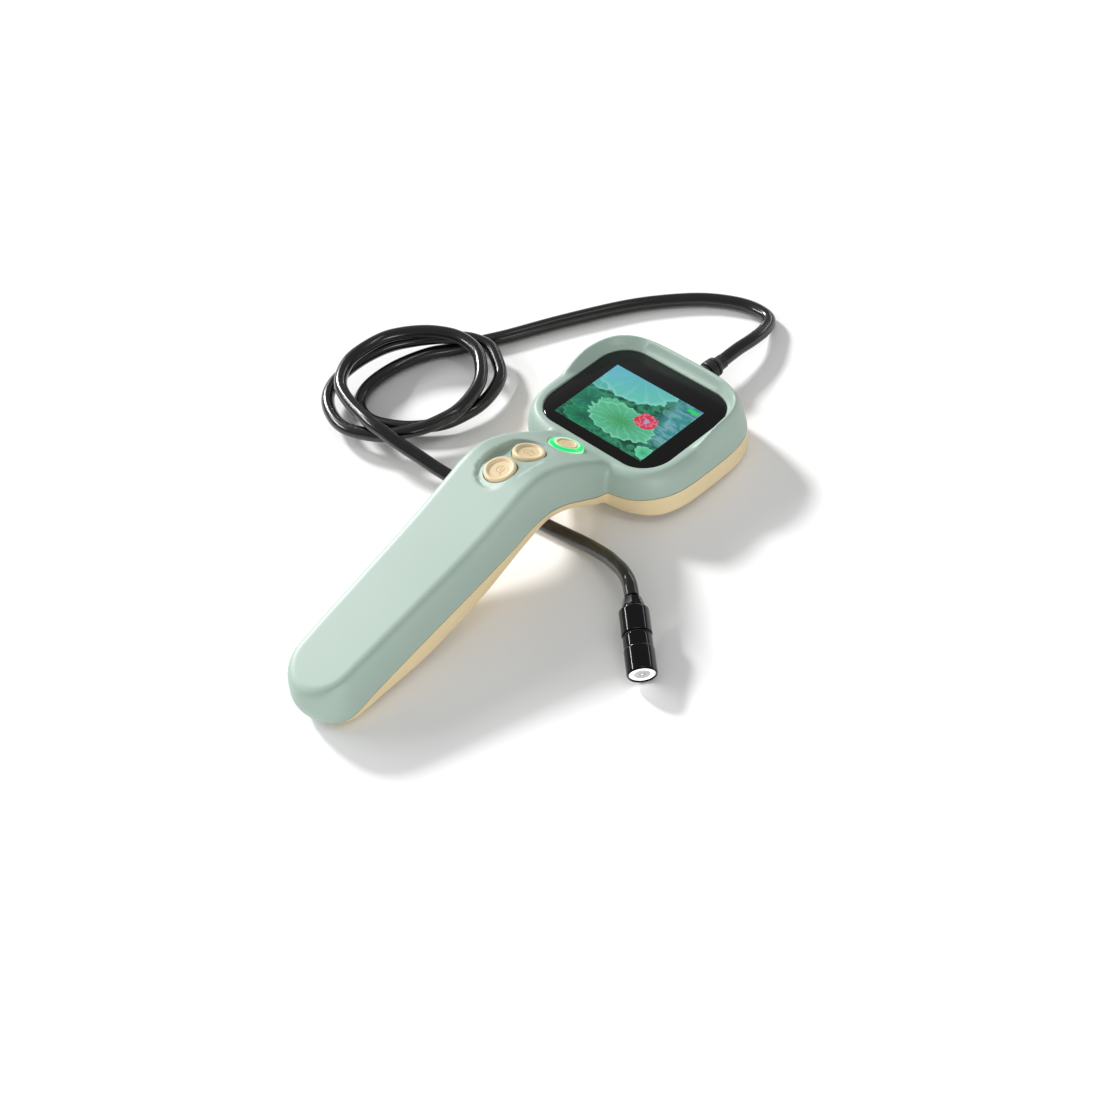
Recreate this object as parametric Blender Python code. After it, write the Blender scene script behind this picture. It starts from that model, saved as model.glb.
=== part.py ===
"""Handheld inspection camera: a two-shell housing with a screen head, an arched neck and a grip,
three sprung buttons, and a semi-rigid cable that ends in a lit camera probe.

Every housing piece is modelled in the screen's own frame, in millimetres: the origin is the middle of
the picture on the glass, +X to the right, +Y up the screen towards the cable, +Z out of the glass.
One empty, rest_frame, tilts that frame so that the far edge of the head's back and the tip of the grip
both stand on z = 0. The cable and its probe lie on that floor and are placed in the floor's frame.
"""

import math

import bmesh
import bpy
import numpy as np
from mathutils import Matrix, Vector

MM = 0.001
GAP = 0.3                                  # clearance between neighbouring pieces

# How the housing stands on the floor
REST_TILT_DEG = -3.882
REST_SHIFT = (0.0, 52.963, 18.412)

# Screen head: a rounded-square shell with a raised visor round its far half
HEAD_HALF = (35.0, 29.6)
HEAD_CENTRE_Y = 2.8
HEAD_BACK = -16.5
HEAD_STATIONS = 44
HEAD_SEAM = -8.0
VISOR_HEIGHT = 4.0
VISOR_START_Y = -2.0
VISOR_RAMP = 13.0
WALL = 2.0

# Glass window, its pocket, and the display behind it
GLASS_HALF = (27.75, 22.35)
GLASS_CORNER = 11.0
GLASS_CENTRE_Y = 2.75
GLASS_THICKNESS = 1.1
POCKET_DEPTH = 1.4
LEDGE_BOTTOM = -3.4
PANEL_SIZE = (46.2, 34.5, 2.4)
PANEL_CENTRE_Y = -0.8
PANEL_TOP = -1.7

# Neck and grip, read along the middle: y, half width, top, seam and underside
SPINE = (
    (-12.0, 15.6, -3.6, -8.0, -14.0),
    (-20.0, 14.9, -0.7, -8.0, -15.8),
    (-28.0, 14.4, 4.5, -9.2, -15.6),
    (-36.0, 14.5, 9.5, -5.9, -10.8),
    (-44.0, 15.0, 13.7, -1.6, -6.4),
    (-52.0, 15.4, 15.9, 0.8, -4.5),
    (-60.0, 15.6, 15.1, 0.2, -6.2),
    (-68.0, 15.6, 12.2, -2.4, -9.2),
    (-84.0, 15.2, 6.8, -7.0, -16.0),
    (-108.0, 14.4, 0.1, -13.6, -23.4),
    (-128.0, 13.7, -5.3, -19.4, -26.3),
    (-138.0, 13.2, -8.1, -23.2, -27.8),
    (-146.0, 12.8, -10.4, -27.2, -26.6),
    (-152.0, 12.6, -12.1, -31.0, -23.5),
)
GRIP_END_Y = -150.0
GRIP_END_RADIUS = 13.5
SPINE_STEP = 8.0
TOP_WALL = 2.4

# Buttons: y, height and lean of the axis from vertical in the screen's frame
POWER_BUTTON = (-28.8, 5.2, 27.0)
PHOTO_BUTTON = (-44.4, 13.6, 17.0)
MODE_BUTTON = (-57.3, 15.3, -6.0)
BUTTON_RADIUS = 5.5
RING_RADII = (4.05, 6.0)
BUTTON_TRAVEL = 0.8
RECESS_HALF = 8.0
RECESS_DEPTH = 1.0
KEY_FLEX_DEPTH = 9.6

# Inside the housing
BOARD_LOW = (-29.0, -8.0, -9.8)
BOARD_HIGH = (24.0, 17.0, -8.6)
BATTERY_SIZE = (20.0, 50.0, 8.6)
BATTERY_CENTRE = (0.0, -100.0, -7.8)
BATTERY_LEAN_DEG = 15.2
SCREW_PLACES = (
    (23.2, 22.4), (-23.2, 22.4), (26.5, -12.0), (-26.5, -12.0), (0.0, -68.0), (0.0, -136.0),
)
BOSS_RADIUS = 2.8
POST_RADIUS = 3.3
PILOT_RADIUS = 1.2
SCREW_SHANK = 0.9
SCREW_HEAD = (2.2, 1.5)
COUNTERBORE_RADIUS = 2.6

# Cable outlet in the far wall of the head
OUTLET_Z = -8.0
OUTLET_Y = 32.4
GLAND_LENGTH = 13.0
CABLE_RADIUS = 2.4
FLOOR_AIR = 0.1
# Route of the cable in the floor's frame: x, y and how far its underside is above the floor. It runs
# out of the gland, round in two loose turns that pass over each other, and under the neck to the probe.
CABLE_STOPS = (
    (0, 98.05, 4.9), (0, 106, 4.5), (0, 113.5, 3.4), (-1.5, 121.5, 1.5), (-5, 127.5, 0.4),
    (-13, 129, 0), (-22, 127, 0), (-33, 121.5, 0), (-44.5, 112, 0), (-54.5, 101, 0), (-67.5, 82.5, 0),
    (-77.5, 66.5, 0), (-83.5, 58, 0), (-88.5, 50, 0), (-94.5, 42.5, 0.2), (-98.5, 34, 0.25),
    (-100.5, 26, 0.3), (-100.5, 17.5, 0.4), (-98, 11, 0.5), (-93, 6.5, 0.65), (-85.5, 5, 0.8),
    (-78, 7, 1), (-71, 10.5, 1.25), (-65.5, 15, 1.5), (-61, 20, 1.8), (-58.5, 26, 2.1), (-57, 33, 2.5),
    (-58, 40.5, 2.9), (-61.5, 47.5, 3.3), (-68, 52, 3.8), (-75, 55, 4.25), (-82, 54, 4.75),
    (-87.5, 51, 5.15), (-94, 46.5, 5.05), (-100.5, 40.5, 4.7), (-106, 33.5, 4.45), (-109, 25.5, 4.2),
    (-110, 17.5, 4), (-109, 9, 3.9), (-106, 3, 3.8), (-100.5, -1.5, 3.85), (-93, -4.5, 3.95),
    (-86, -5, 4.15), (-79, -3, 4.4), (-72.5, 0, 4.75), (-67, 5, 5.2), (-62.5, 10.5, 5.7),
    (-59.5, 16.5, 6.25), (-57.5, 23, 6.85), (-58, 30, 7.4), (-60.5, 37, 7.75), (-65, 42.5, 8.05),
    (-72, 47.5, 8.45), (-78.5, 49, 8.85), (-85, 48.5, 9.25), (-91, 46, 9.65), (-96.5, 42.5, 9.8),
    (-102, 37.5, 9.7), (-106, 32, 9.5), (-108, 24.5, 9.3), (-108, 17, 9.2), (-105, 10.5, 9.1),
    (-100, 5.5, 9.1), (-93, 2.5, 9.2), (-85, 0.5, 9.5), (-76, -1, 9.95), (-69, -1, 9.4),
    (-61.5, -0.5, 7.6), (-52.5, 0.5, 5.6), (-41, 1.5, 3.7), (-26, 3.5, 2.05), (-11.5, 6.5, 0.5),
    (3, 8, 0), (12, 9, 0.1), (20.7, 9.2, 1.3), (30.5, 8, 3.9), (37.5, 6.2, 6.1), (43.8, 4, 8.2),
    (48.9, 1.4, 9.1), (53.15, -1.91, 8.3),
)
CABLE_POINT_SPACING = 9.5

# Camera probe, in the floor's frame: the middle of its front face, and where its axis points
PROBE_TIP = (74.0, -19.9, 4.95)
PROBE_HEADING_DEG = -40.8
PROBE_DIP_DEG = 12.0
PROBE_LENGTH = 27.6

SAGE = (0.46, 0.60, 0.53, 1.0)
CREAM = (0.69, 0.57, 0.36, 1.0)
BLACK = (0.012, 0.012, 0.013, 1.0)
GREEN_LIGHT = (0.02, 0.9, 0.32, 1.0)
BOARD_GREEN = (0.02, 0.16, 0.07, 1.0)
STEEL = (0.55, 0.55, 0.56, 1.0)
SILVER_FOIL = (0.62, 0.63, 0.65, 1.0)
GREY_FOAM = (0.09, 0.09, 0.10, 1.0)
AMBER_FILM = (0.50, 0.22, 0.03, 1.0)
WINDOW_GREY = (0.75, 0.78, 0.80, 1.0)


# ---------------------------------------------------------------- scene and material helpers

def clear_scene():
    for item in list(bpy.data.objects):
        bpy.data.objects.remove(item, do_unlink=True)


def make_material(name, colour, roughness=0.5, metallic=0.0, glow=0.0):
    material = bpy.data.materials.new(name)
    material.use_nodes = True
    shader = material.node_tree.nodes["Principled BSDF"]
    shader.inputs["Base Color"].default_value = colour
    shader.inputs["Roughness"].default_value = roughness
    shader.inputs["Metallic"].default_value = metallic
    if glow:
        shader.inputs["Emission Color"].default_value = colour
        shader.inputs["Emission Strength"].default_value = glow
    return material


def make_rest_frame():
    frame = bpy.data.objects.new("rest_frame", None)
    bpy.context.collection.objects.link(frame)
    frame.rotation_euler = (math.radians(REST_TILT_DEG), 0.0, 0.0)
    frame.location = Vector(REST_SHIFT) * MM
    return frame


def add_solid(name, points, faces, material, parent=None, at=(0, 0, 0), lean_deg=0.0, smooth_deg=35.0):
    """A named object from points in millimetres; at and lean_deg place it in its parent's frame."""
    mesh = bpy.data.meshes.new(name)
    mesh.from_pydata([tuple(c * MM for c in p) for p in points], [], faces)
    mesh.validate()
    tidy = bmesh.new()
    tidy.from_mesh(mesh)
    bmesh.ops.recalc_face_normals(tidy, faces=tidy.faces)
    tidy.to_mesh(mesh)
    tidy.free()
    if material is not None:
        mesh.materials.append(material)
    mesh.shade_smooth()
    mesh.set_sharp_from_angle(angle=math.radians(smooth_deg))
    item = bpy.data.objects.new(name, mesh)
    bpy.context.collection.objects.link(item)
    item.parent = parent
    item.location = Vector(at) * MM
    item.rotation_euler = (math.radians(lean_deg), 0.0, 0.0)
    return item


def as_cutter(item):
    item.hide_render = True
    item.display_type = "WIRE"
    return item


def combine(target, other, operation):
    step = target.modifiers.new(f"{operation.lower()} {other.name}", "BOOLEAN")
    step.operation = operation
    step.object = other
    step.solver = "EXACT"


# ---------------------------------------------------------------- shape helpers

def loft(rings, strip_caps=False):
    """Closed skin over rings of equal length. strip_caps closes the ends of a mirror-symmetric ring."""
    count = len(rings[0])
    points = [p for ring in rings for p in ring]
    faces = []
    for level in range(len(rings) - 1):
        for step in range(count):
            after = (step + 1) % count
            low, high = level * count, (level + 1) * count
            faces.append((low + step, low + after, high + after, high + step))
    for base in (0, (len(rings) - 1) * count):
        if strip_caps:
            for step in range(count // 2):
                left = count - 1 - step
                if left - 1 > step + 1:
                    faces.append((base + step, base + step + 1, base + left - 1, base + left))
                elif left - 1 == step + 1:
                    faces.append((base + step, base + step + 1, base + left))
        else:
            faces.append(tuple(base + step for step in range(count)))
    return points, faces


def rounded_box(low, high, radius=0.6, segments=2):
    """Box from low to high corner with rounded vertical edges."""
    x0, y0, z0 = low
    x1, y1, z1 = high
    outline = []
    corners = ((x1 - radius, y1 - radius, 0), (x0 + radius, y1 - radius, 90),
               (x0 + radius, y0 + radius, 180), (x1 - radius, y0 + radius, 270))
    for cx, cy, start in corners:
        for step in range(segments + 1):
            angle = math.radians(start + 90 * step / segments)
            outline.append((cx + radius * math.cos(angle), cy + radius * math.sin(angle)))
    return loft([[(x, y, z) for x, y in outline] for z in (z0, z1)])


def unit_circle(sides):
    angles = [2 * math.pi * step / sides for step in range(sides)]
    return [(math.cos(angle), math.sin(angle)) for angle in angles]


def turned(profile, sides=24):
    """Solid of revolution about +Z from (radius, height) points, listed from one end to the other."""
    circle = unit_circle(sides)
    return loft([[(radius * x, radius * y, height) for x, y in circle] for radius, height in profile])


def turned_ring(profile, sides=24):
    """Solid of revolution about +Z whose closed profile stays clear of the axis."""
    points, faces = turned(profile, sides)
    last = (len(profile) - 1) * sides
    faces = faces[:-2]
    for step in range(sides):
        after = (step + 1) % sides
        faces.append((last + step, last + after, after, step))
    return points, faces


def moved(shape, offset, turn=None):
    points, faces = shape
    if turn is not None:
        points = [tuple(turn @ Vector(p)) for p in points]
    return [tuple(p[i] + offset[i] for i in range(3)) for p in points], faces


def joined(shapes):
    points, faces = [], []
    for more_points, more_faces in shapes:
        base = len(points)
        points += more_points
        faces += [tuple(base + index for index in face) for face in more_faces]
    return points, faces


def cylinder_z(x, y, low, high, radius, sides=16):
    return moved(turned(((radius, low), (radius, high)), sides), (x, y, 0))


def smooth_value(column, y):
    """Height or width of the spine at y: a cubic through the SPINE rows."""
    rows = SPINE[::-1]
    ys = [row[0] for row in rows]
    values = [row[column] for row in rows]
    y = min(max(y, ys[0]), ys[-1])
    slot = min(int(np.searchsorted(ys, y, side="right")) - 1, len(ys) - 2)

    def slope(k):
        low, high = max(k - 1, 0), min(k + 1, len(ys) - 1)
        return (values[high] - values[low]) / (ys[high] - ys[low])

    span = ys[slot + 1] - ys[slot]
    t = (y - ys[slot]) / span
    return ((2 * t**3 - 3 * t**2 + 1) * values[slot] + (t**3 - 2 * t**2 + t) * span * slope(slot)
            + (3 * t**2 - 2 * t**3) * values[slot + 1] + (t**3 - t**2) * span * slope(slot + 1))


def half_width(y):
    return smooth_value(1, y)


def top_line(y):
    return smooth_value(2, y)


def seam_line(y):
    return smooth_value(3, y)


def bottom_line(y):
    return smooth_value(4, y)


# ---------------------------------------------------------------- housing shapes

def head_ring(inset, height, power, visor=0.0):
    """One level of the head: a superellipse, lifted by the visor round its far half."""
    half_x = HEAD_HALF[0] - inset
    half_y = HEAD_HALF[1] - inset
    ring = []
    for step in range(HEAD_STATIONS):
        angle = 2 * math.pi * (step + 0.5) / HEAD_STATIONS
        c, s = math.cos(angle), math.sin(angle)
        reach = (abs(c / half_x) ** power + abs(s / half_y) ** power) ** (-1 / power)
        x, y = reach * c, HEAD_CENTRE_Y + reach * s
        rise = min(max((y - VISOR_START_Y) / VISOR_RAMP, 0.0), 1.0)
        rise = rise * rise * (3 - 2 * rise)
        ring.append((x, y, height + VISOR_HEIGHT * visor * rise))
    return ring


def head_outside():
    levels = (                          # inset, height, squareness, share of the visor's height
        (6.6, 0.6, 4.8, 0.0),
        (5.5, 0.7, 4.4, 0.5),
        (4.4, 0.6, 4.1, 0.95),
        (3.2, 0.1, 3.9, 1.0),
        (1.9, -1.1, 3.6, 0.7),
        (0.7, -3.3, 3.4, 0.3),
        (0.0, -6.6, 3.4, 0.0),
        (0.1, -10.0, 3.4, 0.0),
        (0.7, -13.6, 3.4, 0.0),
        (1.8, -15.6, 3.5, 0.0),
        (3.6, HEAD_BACK, 3.6, 0.0),
    )
    return loft([head_ring(*level) for level in levels])


def head_inside():
    levels = (
        (6.4, LEDGE_BOTTOM, 4.2),
        (3.4, -4.8, 3.7),
        (WALL, -7.4, 3.4),
        (WALL + 0.4, -12.2, 3.4),
        (4.6, HEAD_BACK + WALL, 3.6),
    )
    return loft([head_ring(*level) for level in levels])


def grip_outline(inset):
    """Plan outline of neck and grip, root to tip on the right and back on the left, moved inwards."""
    right = []
    bend_y = GRIP_END_Y + GRIP_END_RADIUS
    root_y = SPINE[0][0]
    runs = int(round((root_y - bend_y) / SPINE_STEP))
    for step in range(runs):
        y = root_y + (bend_y - root_y) * step / runs
        right.append((half_width(y), y))
    arc_steps = 7
    for step in range(arc_steps):
        angle = math.radians(90 * step / arc_steps)
        x = half_width(bend_y) * math.cos(angle) ** 0.85
        right.append((x, bend_y - GRIP_END_RADIUS * math.sin(angle) ** 0.85))
    tip = (0.0, GRIP_END_Y)
    path = right + [tip]
    shifted = []
    for index, (x, y) in enumerate(right):
        before = path[max(index - 1, 0)]
        after = path[index + 1]
        run = Vector((after[0] - before[0], after[1] - before[1])).normalized()
        normal = (-run.y, run.x)
        shifted.append((max(x - inset * normal[0], 0.4), y if index == 0 else y - inset * normal[1]))
    shifted.append((0.0, GRIP_END_Y + inset))
    left = [(-x, y) for x, y in reversed(shifted[:-1])]
    return shifted + left


def grip_solid(levels, top_inset=0.0, bottom_inset=0.0):
    """Loft of outlines; a level is (inset, distance from the underside or the top, 'low' or 'high')."""
    rings = []
    for inset, distance, side in levels:
        ring = []
        for x, y in grip_outline(inset):
            if side == "low":
                height = bottom_line(y) + bottom_inset + distance
            else:
                height = top_line(y) - top_inset - distance
            ring.append((x, y, height))
        rings.append(ring)
    return loft(rings, strip_caps=True)


def grip_outside():
    return grip_solid((
        (6.5, 0.0, "low"), (4.0, 0.5, "low"), (2.0, 1.7, "low"), (0.7, 3.6, "low"), (0.0, 6.6, "low"),
        (0.3, 5.5, "high"), (0.8, 2.6, "high"), (1.8, 0.8, "high"), (3.4, 0.0, "high"),
    ))


def grip_inside():
    return grip_solid((
        (7.5, 0.0, "low"), (3.4, 1.6, "low"), (WALL, 4.6, "low"),
        (WALL + 0.4, 3.6, "high"), (4.6, 0.0, "high"),
    ), top_inset=TOP_WALL, bottom_inset=WALL)


def seam_solid(side, clearance):
    """Everything on one side of the seam, to be cut away: side is -1 below it and +1 above it."""
    reach = 45.0
    line = [(60.0, HEAD_SEAM), (-14.0, HEAD_SEAM)]
    y = -20.0
    while y > -153.0:
        line.append((y, seam_line(y)))
        y -= 4.0
    line.append((-170.0, seam_line(-152.0) - 8.0))
    edge = [(y, z + clearance) for y, z in line]
    outline = edge + [(-170.0, side * 70.0), (60.0, side * 70.0)]
    return loft([[(x, y, z) for y, z in outline] for x in (-reach, reach)])


def axis_turn(lean_deg):
    return Matrix.Rotation(math.radians(-lean_deg), 3, "X")


def leaning_cylinder(button, radius, low, high, sides=24):
    y, z, lean = button
    return moved(turned(((radius, low), (radius, high)), sides), (0.0, y, z), axis_turn(lean))


def button_recess():
    """Shallow oval hollow in the neck round the photo and mode buttons."""
    outline = []
    near, far = MODE_BUTTON[0], PHOTO_BUTTON[0]
    steps = 5
    for centre, start in ((far, 90), (near, 180), (near, 270), (far, 0)):
        for step in range(steps):
            angle = math.radians(start + 90 * (step + 0.5) / steps)
            outline.append((RECESS_HALF * math.cos(angle), centre + RECESS_HALF * math.sin(angle)))
    low = [(x, y, top_line(y) - RECESS_DEPTH) for x, y in outline]
    high = [(x, y, top_line(y) + 8.0) for x, y in outline]
    return loft([low, high], strip_caps=True)


def rounded_rectangle(half, centre_y, radius, steps=6):
    outline = []
    for sx, sy, start in ((1, 1, 0), (-1, 1, 90), (-1, -1, 180), (1, -1, 270)):
        cx = sx * (half[0] - radius)
        cy = centre_y + sy * (half[1] - radius)
        for step in range(steps + 1):
            angle = math.radians(start + 90 * step / steps)
            outline.append((cx + radius * math.cos(angle), cy + radius * math.sin(angle)))
    return outline


def prism(outline, low, high):
    return loft([[(x, y, z) for x, y in outline] for z in (low, high)])


def screw_seat(x, y):
    """Heights at one screw: boss root in the front shell, seam, and the seat of the screw's head."""
    if y > SPINE[0][0] - 4:
        return LEDGE_BOTTOM, HEAD_SEAM, HEAD_BACK + 3.6
    return top_line(y) - TOP_WALL, seam_line(y), bottom_line(y) + 3.4


def build_shells(sage, cream, frame):
    front = add_solid("front_shell", *head_outside(), sage, frame)
    rear = add_solid("rear_shell", *head_outside(), cream, frame)
    grip = as_cutter(add_solid("cut_grip_outside", *grip_outside(), None, frame))
    hollow_head = as_cutter(add_solid("cut_head_inside", *head_inside(), None, frame))
    hollow_grip = as_cutter(add_solid("cut_grip_inside", *grip_inside(), None, frame))
    below = as_cutter(add_solid("cut_below_seam", *seam_solid(-1, 0.0), None, frame))
    above = as_cutter(add_solid("cut_above_seam", *seam_solid(1, -GAP), None, frame))
    bosses, pilots, posts, holes = [], [], [], []
    for x, y in SCREW_PLACES:
        root, seam, seat = screw_seat(x, y)
        slope_room = 1.2 if y < SPINE[0][0] else 0.0
        bosses.append(cylinder_z(x, y, seam + slope_room, root + 1.0, BOSS_RADIUS, 12))
        pilots.append(cylinder_z(x, y, seam - 3.0, root - 0.6, PILOT_RADIUS, 10))
        posts.append(cylinder_z(x, y, seat - 2.4, seam - GAP - slope_room, POST_RADIUS, 12))
        holes.append(turned_hole(x, y, seat, seam))
    boss_set = as_cutter(add_solid("add_bosses", *joined(bosses), None, frame))
    pilot_set = as_cutter(add_solid("cut_pilots", *joined(pilots), None, frame))
    post_set = as_cutter(add_solid("add_posts", *joined(posts), None, frame))
    hole_set = as_cutter(add_solid("cut_screw_holes", *joined(holes), None, frame))
    outlet = as_cutter(add_solid("cut_outlet", *outlet_hole(), None, frame))
    front_cuts = [as_cutter(add_solid(name, *shape, None, frame)) for name, shape in (
        ("cut_pocket", prism(rounded_rectangle((GLASS_HALF[0] + GAP, GLASS_HALF[1] + GAP), GLASS_CENTRE_Y,
                                               GLASS_CORNER + GAP), -POCKET_DEPTH, 6.0)),
        ("cut_window", prism(rounded_rectangle((PANEL_SIZE[0] / 2 + 0.5, PANEL_SIZE[1] / 2 + 0.5),
                                               PANEL_CENTRE_Y, 1.0, 2), -12.0, 6.0)),
        ("cut_recess", button_recess()),
        ("cut_mode_bore", leaning_cylinder(MODE_BUTTON, BUTTON_RADIUS + GAP, -5.5, 5.0)),
        ("cut_photo_bore", leaning_cylinder(PHOTO_BUTTON, BUTTON_RADIUS + GAP, -5.5, 5.0)),
        ("cut_ring_bore", leaning_cylinder(POWER_BUTTON, RING_RADII[1] + GAP, -5.5, 5.0)),
    )]
    port_cut = as_cutter(add_solid("cut_ports", *port_openings(), None, frame))
    for shell in (front, rear):
        combine(shell, grip, "UNION")
        combine(shell, hollow_head, "DIFFERENCE")
        combine(shell, hollow_grip, "DIFFERENCE")
    combine(front, below, "DIFFERENCE")
    combine(front, boss_set, "UNION")
    combine(front, pilot_set, "DIFFERENCE")
    combine(rear, above, "DIFFERENCE")
    combine(rear, post_set, "UNION")
    combine(rear, hole_set, "DIFFERENCE")
    combine(rear, port_cut, "DIFFERENCE")
    for shell in (front, rear):
        combine(shell, outlet, "DIFFERENCE")
    for cutter in front_cuts:
        combine(front, cutter, "DIFFERENCE")


def turned_hole(x, y, seat, seam):
    """Screw hole through a rear post, with the counterbore for the head open to the outside."""
    profile = ((COUNTERBORE_RADIUS, seat - 12.0), (COUNTERBORE_RADIUS, seat),
               (PILOT_RADIUS + 0.2, seat), (PILOT_RADIUS + 0.2, seam + 3.0))
    return moved(turned(profile, 12), (x, y, 0))


def outlet_hole():
    turn = Matrix.Rotation(math.radians(-90), 3, "X")
    return moved(turned(((3.0 + GAP, -8.0), (3.0 + GAP, 8.0)), 20), (0.0, OUTLET_Y - 1.0, OUTLET_Z), turn)


# ---------------------------------------------------------------- screen, boards and battery

def build_screen(frame):
    glass = make_material("black_glass", BLACK, 0.06)
    outline = rounded_rectangle(GLASS_HALF, GLASS_CENTRE_Y, GLASS_CORNER)
    add_solid("screen_glass", *prism(outline, -GLASS_THICKNESS, 0.0), glass, frame)
    panel = make_material("display_panel", (0.05, 0.28, 0.27, 1.0), 0.2)
    w, h, t = PANEL_SIZE
    low = (-w / 2, PANEL_CENTRE_Y - h / 2, PANEL_TOP - t)
    high = (w / 2, PANEL_CENTRE_Y + h / 2, PANEL_TOP)
    add_solid("display_panel", *rounded_box(low, high), panel, frame)
    plate = make_material("pressed_steel", STEEL, 0.35, 1.0)
    top = PANEL_TOP - t - GAP
    low = (-w / 2 + 0.4, PANEL_CENTRE_Y - 14.0, top - 0.8)
    high = (w / 2 - 0.4, PANEL_CENTRE_Y + h / 2 + 1.0, top)
    add_solid("display_bracket", *rounded_box(low, high, 1.5), plate, frame)


def strip_along(path, width, thickness, middle_x=0.0):
    """Flat strip that follows (y, z) points."""
    rings = []
    for index, (y, z) in enumerate(path):
        before, after = path[max(index - 1, 0)], path[min(index + 1, len(path) - 1)]
        run = Vector((after[0] - before[0], after[1] - before[1])).normalized()
        off = Vector((-run.y, run.x)) * thickness / 2
        rings.append([
            (middle_x - width / 2, y - off.x, z - off.y), (middle_x + width / 2, y - off.x, z - off.y),
            (middle_x + width / 2, y + off.x, z + off.y), (middle_x - width / 2, y + off.x, z + off.y),
        ])
    return loft(rings)


def build_boards(frame):
    laminate = make_material("board_laminate", BOARD_GREEN, 0.45)
    chip = make_material("chip_epoxy", (0.02, 0.02, 0.022, 1.0), 0.5)
    film = make_material("amber_film", AMBER_FILM, 0.4)
    plated = make_material("plated_steel", STEEL, 0.3, 1.0)
    ivory = make_material("nylon_socket", (0.75, 0.70, 0.60, 1.0), 0.5)
    add_solid("main_board", *rounded_box(BOARD_LOW, BOARD_HIGH, 1.0), laminate, frame)
    under = BOARD_LOW[2] - GAP
    add_solid("processor_chip", *rounded_box((-7, 1, under - 1.2), (5, 13, under), 0.4, 1), chip, frame)
    add_solid("memory_chip", *rounded_box((9, 3, under - 1.0), (17, 11, under), 0.3, 1), chip, frame)
    add_solid("battery_socket", *rounded_box((4, -7, under - 3.2), (12, -1.5, under), 0.3, 1), ivory, frame)
    add_solid("camera_socket", *rounded_box((-4, 14.3, under - 2.6), (8, 16.8, under), 0.3, 1), ivory,
              frame)
    ribbon = [(8.0, -5.4), (4.0, -5.6), (0.0, -6.1), (-4.0, -7.1), (-7.0, -8.2)]
    ribbon = [(y, z - 0.5) if y > -7.0 else (y, z) for y, z in ribbon]
    add_solid("display_ribbon", *strip_along(ribbon, 12.0, 0.2, -4.0), film, frame)
    build_usb_port(plated, frame)
    build_card_socket(plated, chip, frame)


def build_usb_port(plated, frame):
    """Charging socket: a flattened tube, open at the side wall of the head."""
    z = BOARD_LOW[2] - GAP - 1.7
    turn = Matrix.Rotation(math.radians(-90), 3, "Y")
    rings = []
    for half_w, half_h, depth in ((4.4, 1.6, 0.0), (4.4, 1.6, 7.4), (4.0, 1.2, 7.4), (4.0, 1.2, 1.0)):
        ring = []
        for cx, start in ((half_w - half_h, -90), (half_h - half_w, 90)):
            for step in range(7):
                angle = math.radians(start + 30 * step)
                ring.append((half_h * math.sin(angle), cx + half_h * math.cos(angle), depth))
        rings.append(ring)
    add_solid("usb_port", *moved(loft(rings), (-26.4, 9.0, z), turn), plated, frame)


def build_card_socket(plated, chip, frame):
    """Spring socket for the memory card, and the card in it, its edge at the side wall."""
    z = BOARD_LOW[2] - GAP
    x0, x1, y0, y1 = -31.5, -18.0, -7.4, 4.2
    slot = (y0 + 0.7, y1 - 0.7, z - 1.35, z - 0.35)
    outer = [(x0, y0, z - 1.7), (x0, y1, z - 1.7), (x0, y1, z), (x0, y0, z)]
    inner = [(x0, slot[0], slot[2]), (x0, slot[1], slot[2]), (x0, slot[1], slot[3]), (x0, slot[0], slot[3])]
    far = [(x1, p[1], p[2]) for p in outer]
    deep = [(x1 - 0.7, p[1], p[2]) for p in inner]
    add_solid("card_socket", *loft([far, outer, inner, deep]), plated, frame)
    low = (x0 - 0.7, slot[0] + 0.15, slot[2] + 0.15)
    high = (x1 - 1.2, slot[1] - 0.15, slot[3] - 0.15)
    add_solid("memory_card", *rounded_box(low, high, 0.4, 1), chip, frame)


def port_openings():
    """Openings in the left wall of the rear shell for the charging plug and the memory card."""
    z = BOARD_LOW[2] - GAP
    plug = rounded_box((-40.0, 9.0 - 4.9, z - 3.8), (-30.0, 9.0 + 4.9, z + 0.3), 0.3, 1)
    card = rounded_box((-40.0, -7.4, z - 2.0), (-31.0, 3.6, z + 0.1), 0.3, 1)
    return joined((plug, card))


def build_battery(frame):
    foil = make_material("pouch_foil", SILVER_FOIL, 0.35, 0.6)
    foam = make_material("grey_foam", GREY_FOAM, 0.95)
    w, h, t = BATTERY_SIZE
    add_solid("battery_cell", *rounded_box((-w / 2, -h / 2, -t / 2), (w / 2, h / 2, t / 2), 2.0),
              foil, frame, BATTERY_CENTRE, BATTERY_LEAN_DEG)
    pad_low = (-w / 2 + 3, -h / 2 + 8, -t / 2 - GAP - 1.8)
    pad_high = (w / 2 - 3, h / 2 - 8, -t / 2 - GAP)
    add_solid("battery_pad", *rounded_box(pad_low, pad_high, 1.0), foam, frame, BATTERY_CENTRE,
              BATTERY_LEAN_DEG)
    lead = make_material("lead_jacket", (0.35, 0.02, 0.02, 1.0), 0.5)
    route = ((6, -74.2, -2.2), (6.5, -68, -1.0), (8, -60, 1.6), (8.5, -52, 2.4), (8.5, -44, 0.4),
             (8.5, -36, -4.5), (8.2, -28, -9.2), (8, -20, -11.6), (8, -13, -12.0), (8, -7.4, -11.8))
    add_tube("battery_lead", route, 0.9, lead, frame, 2)


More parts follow.
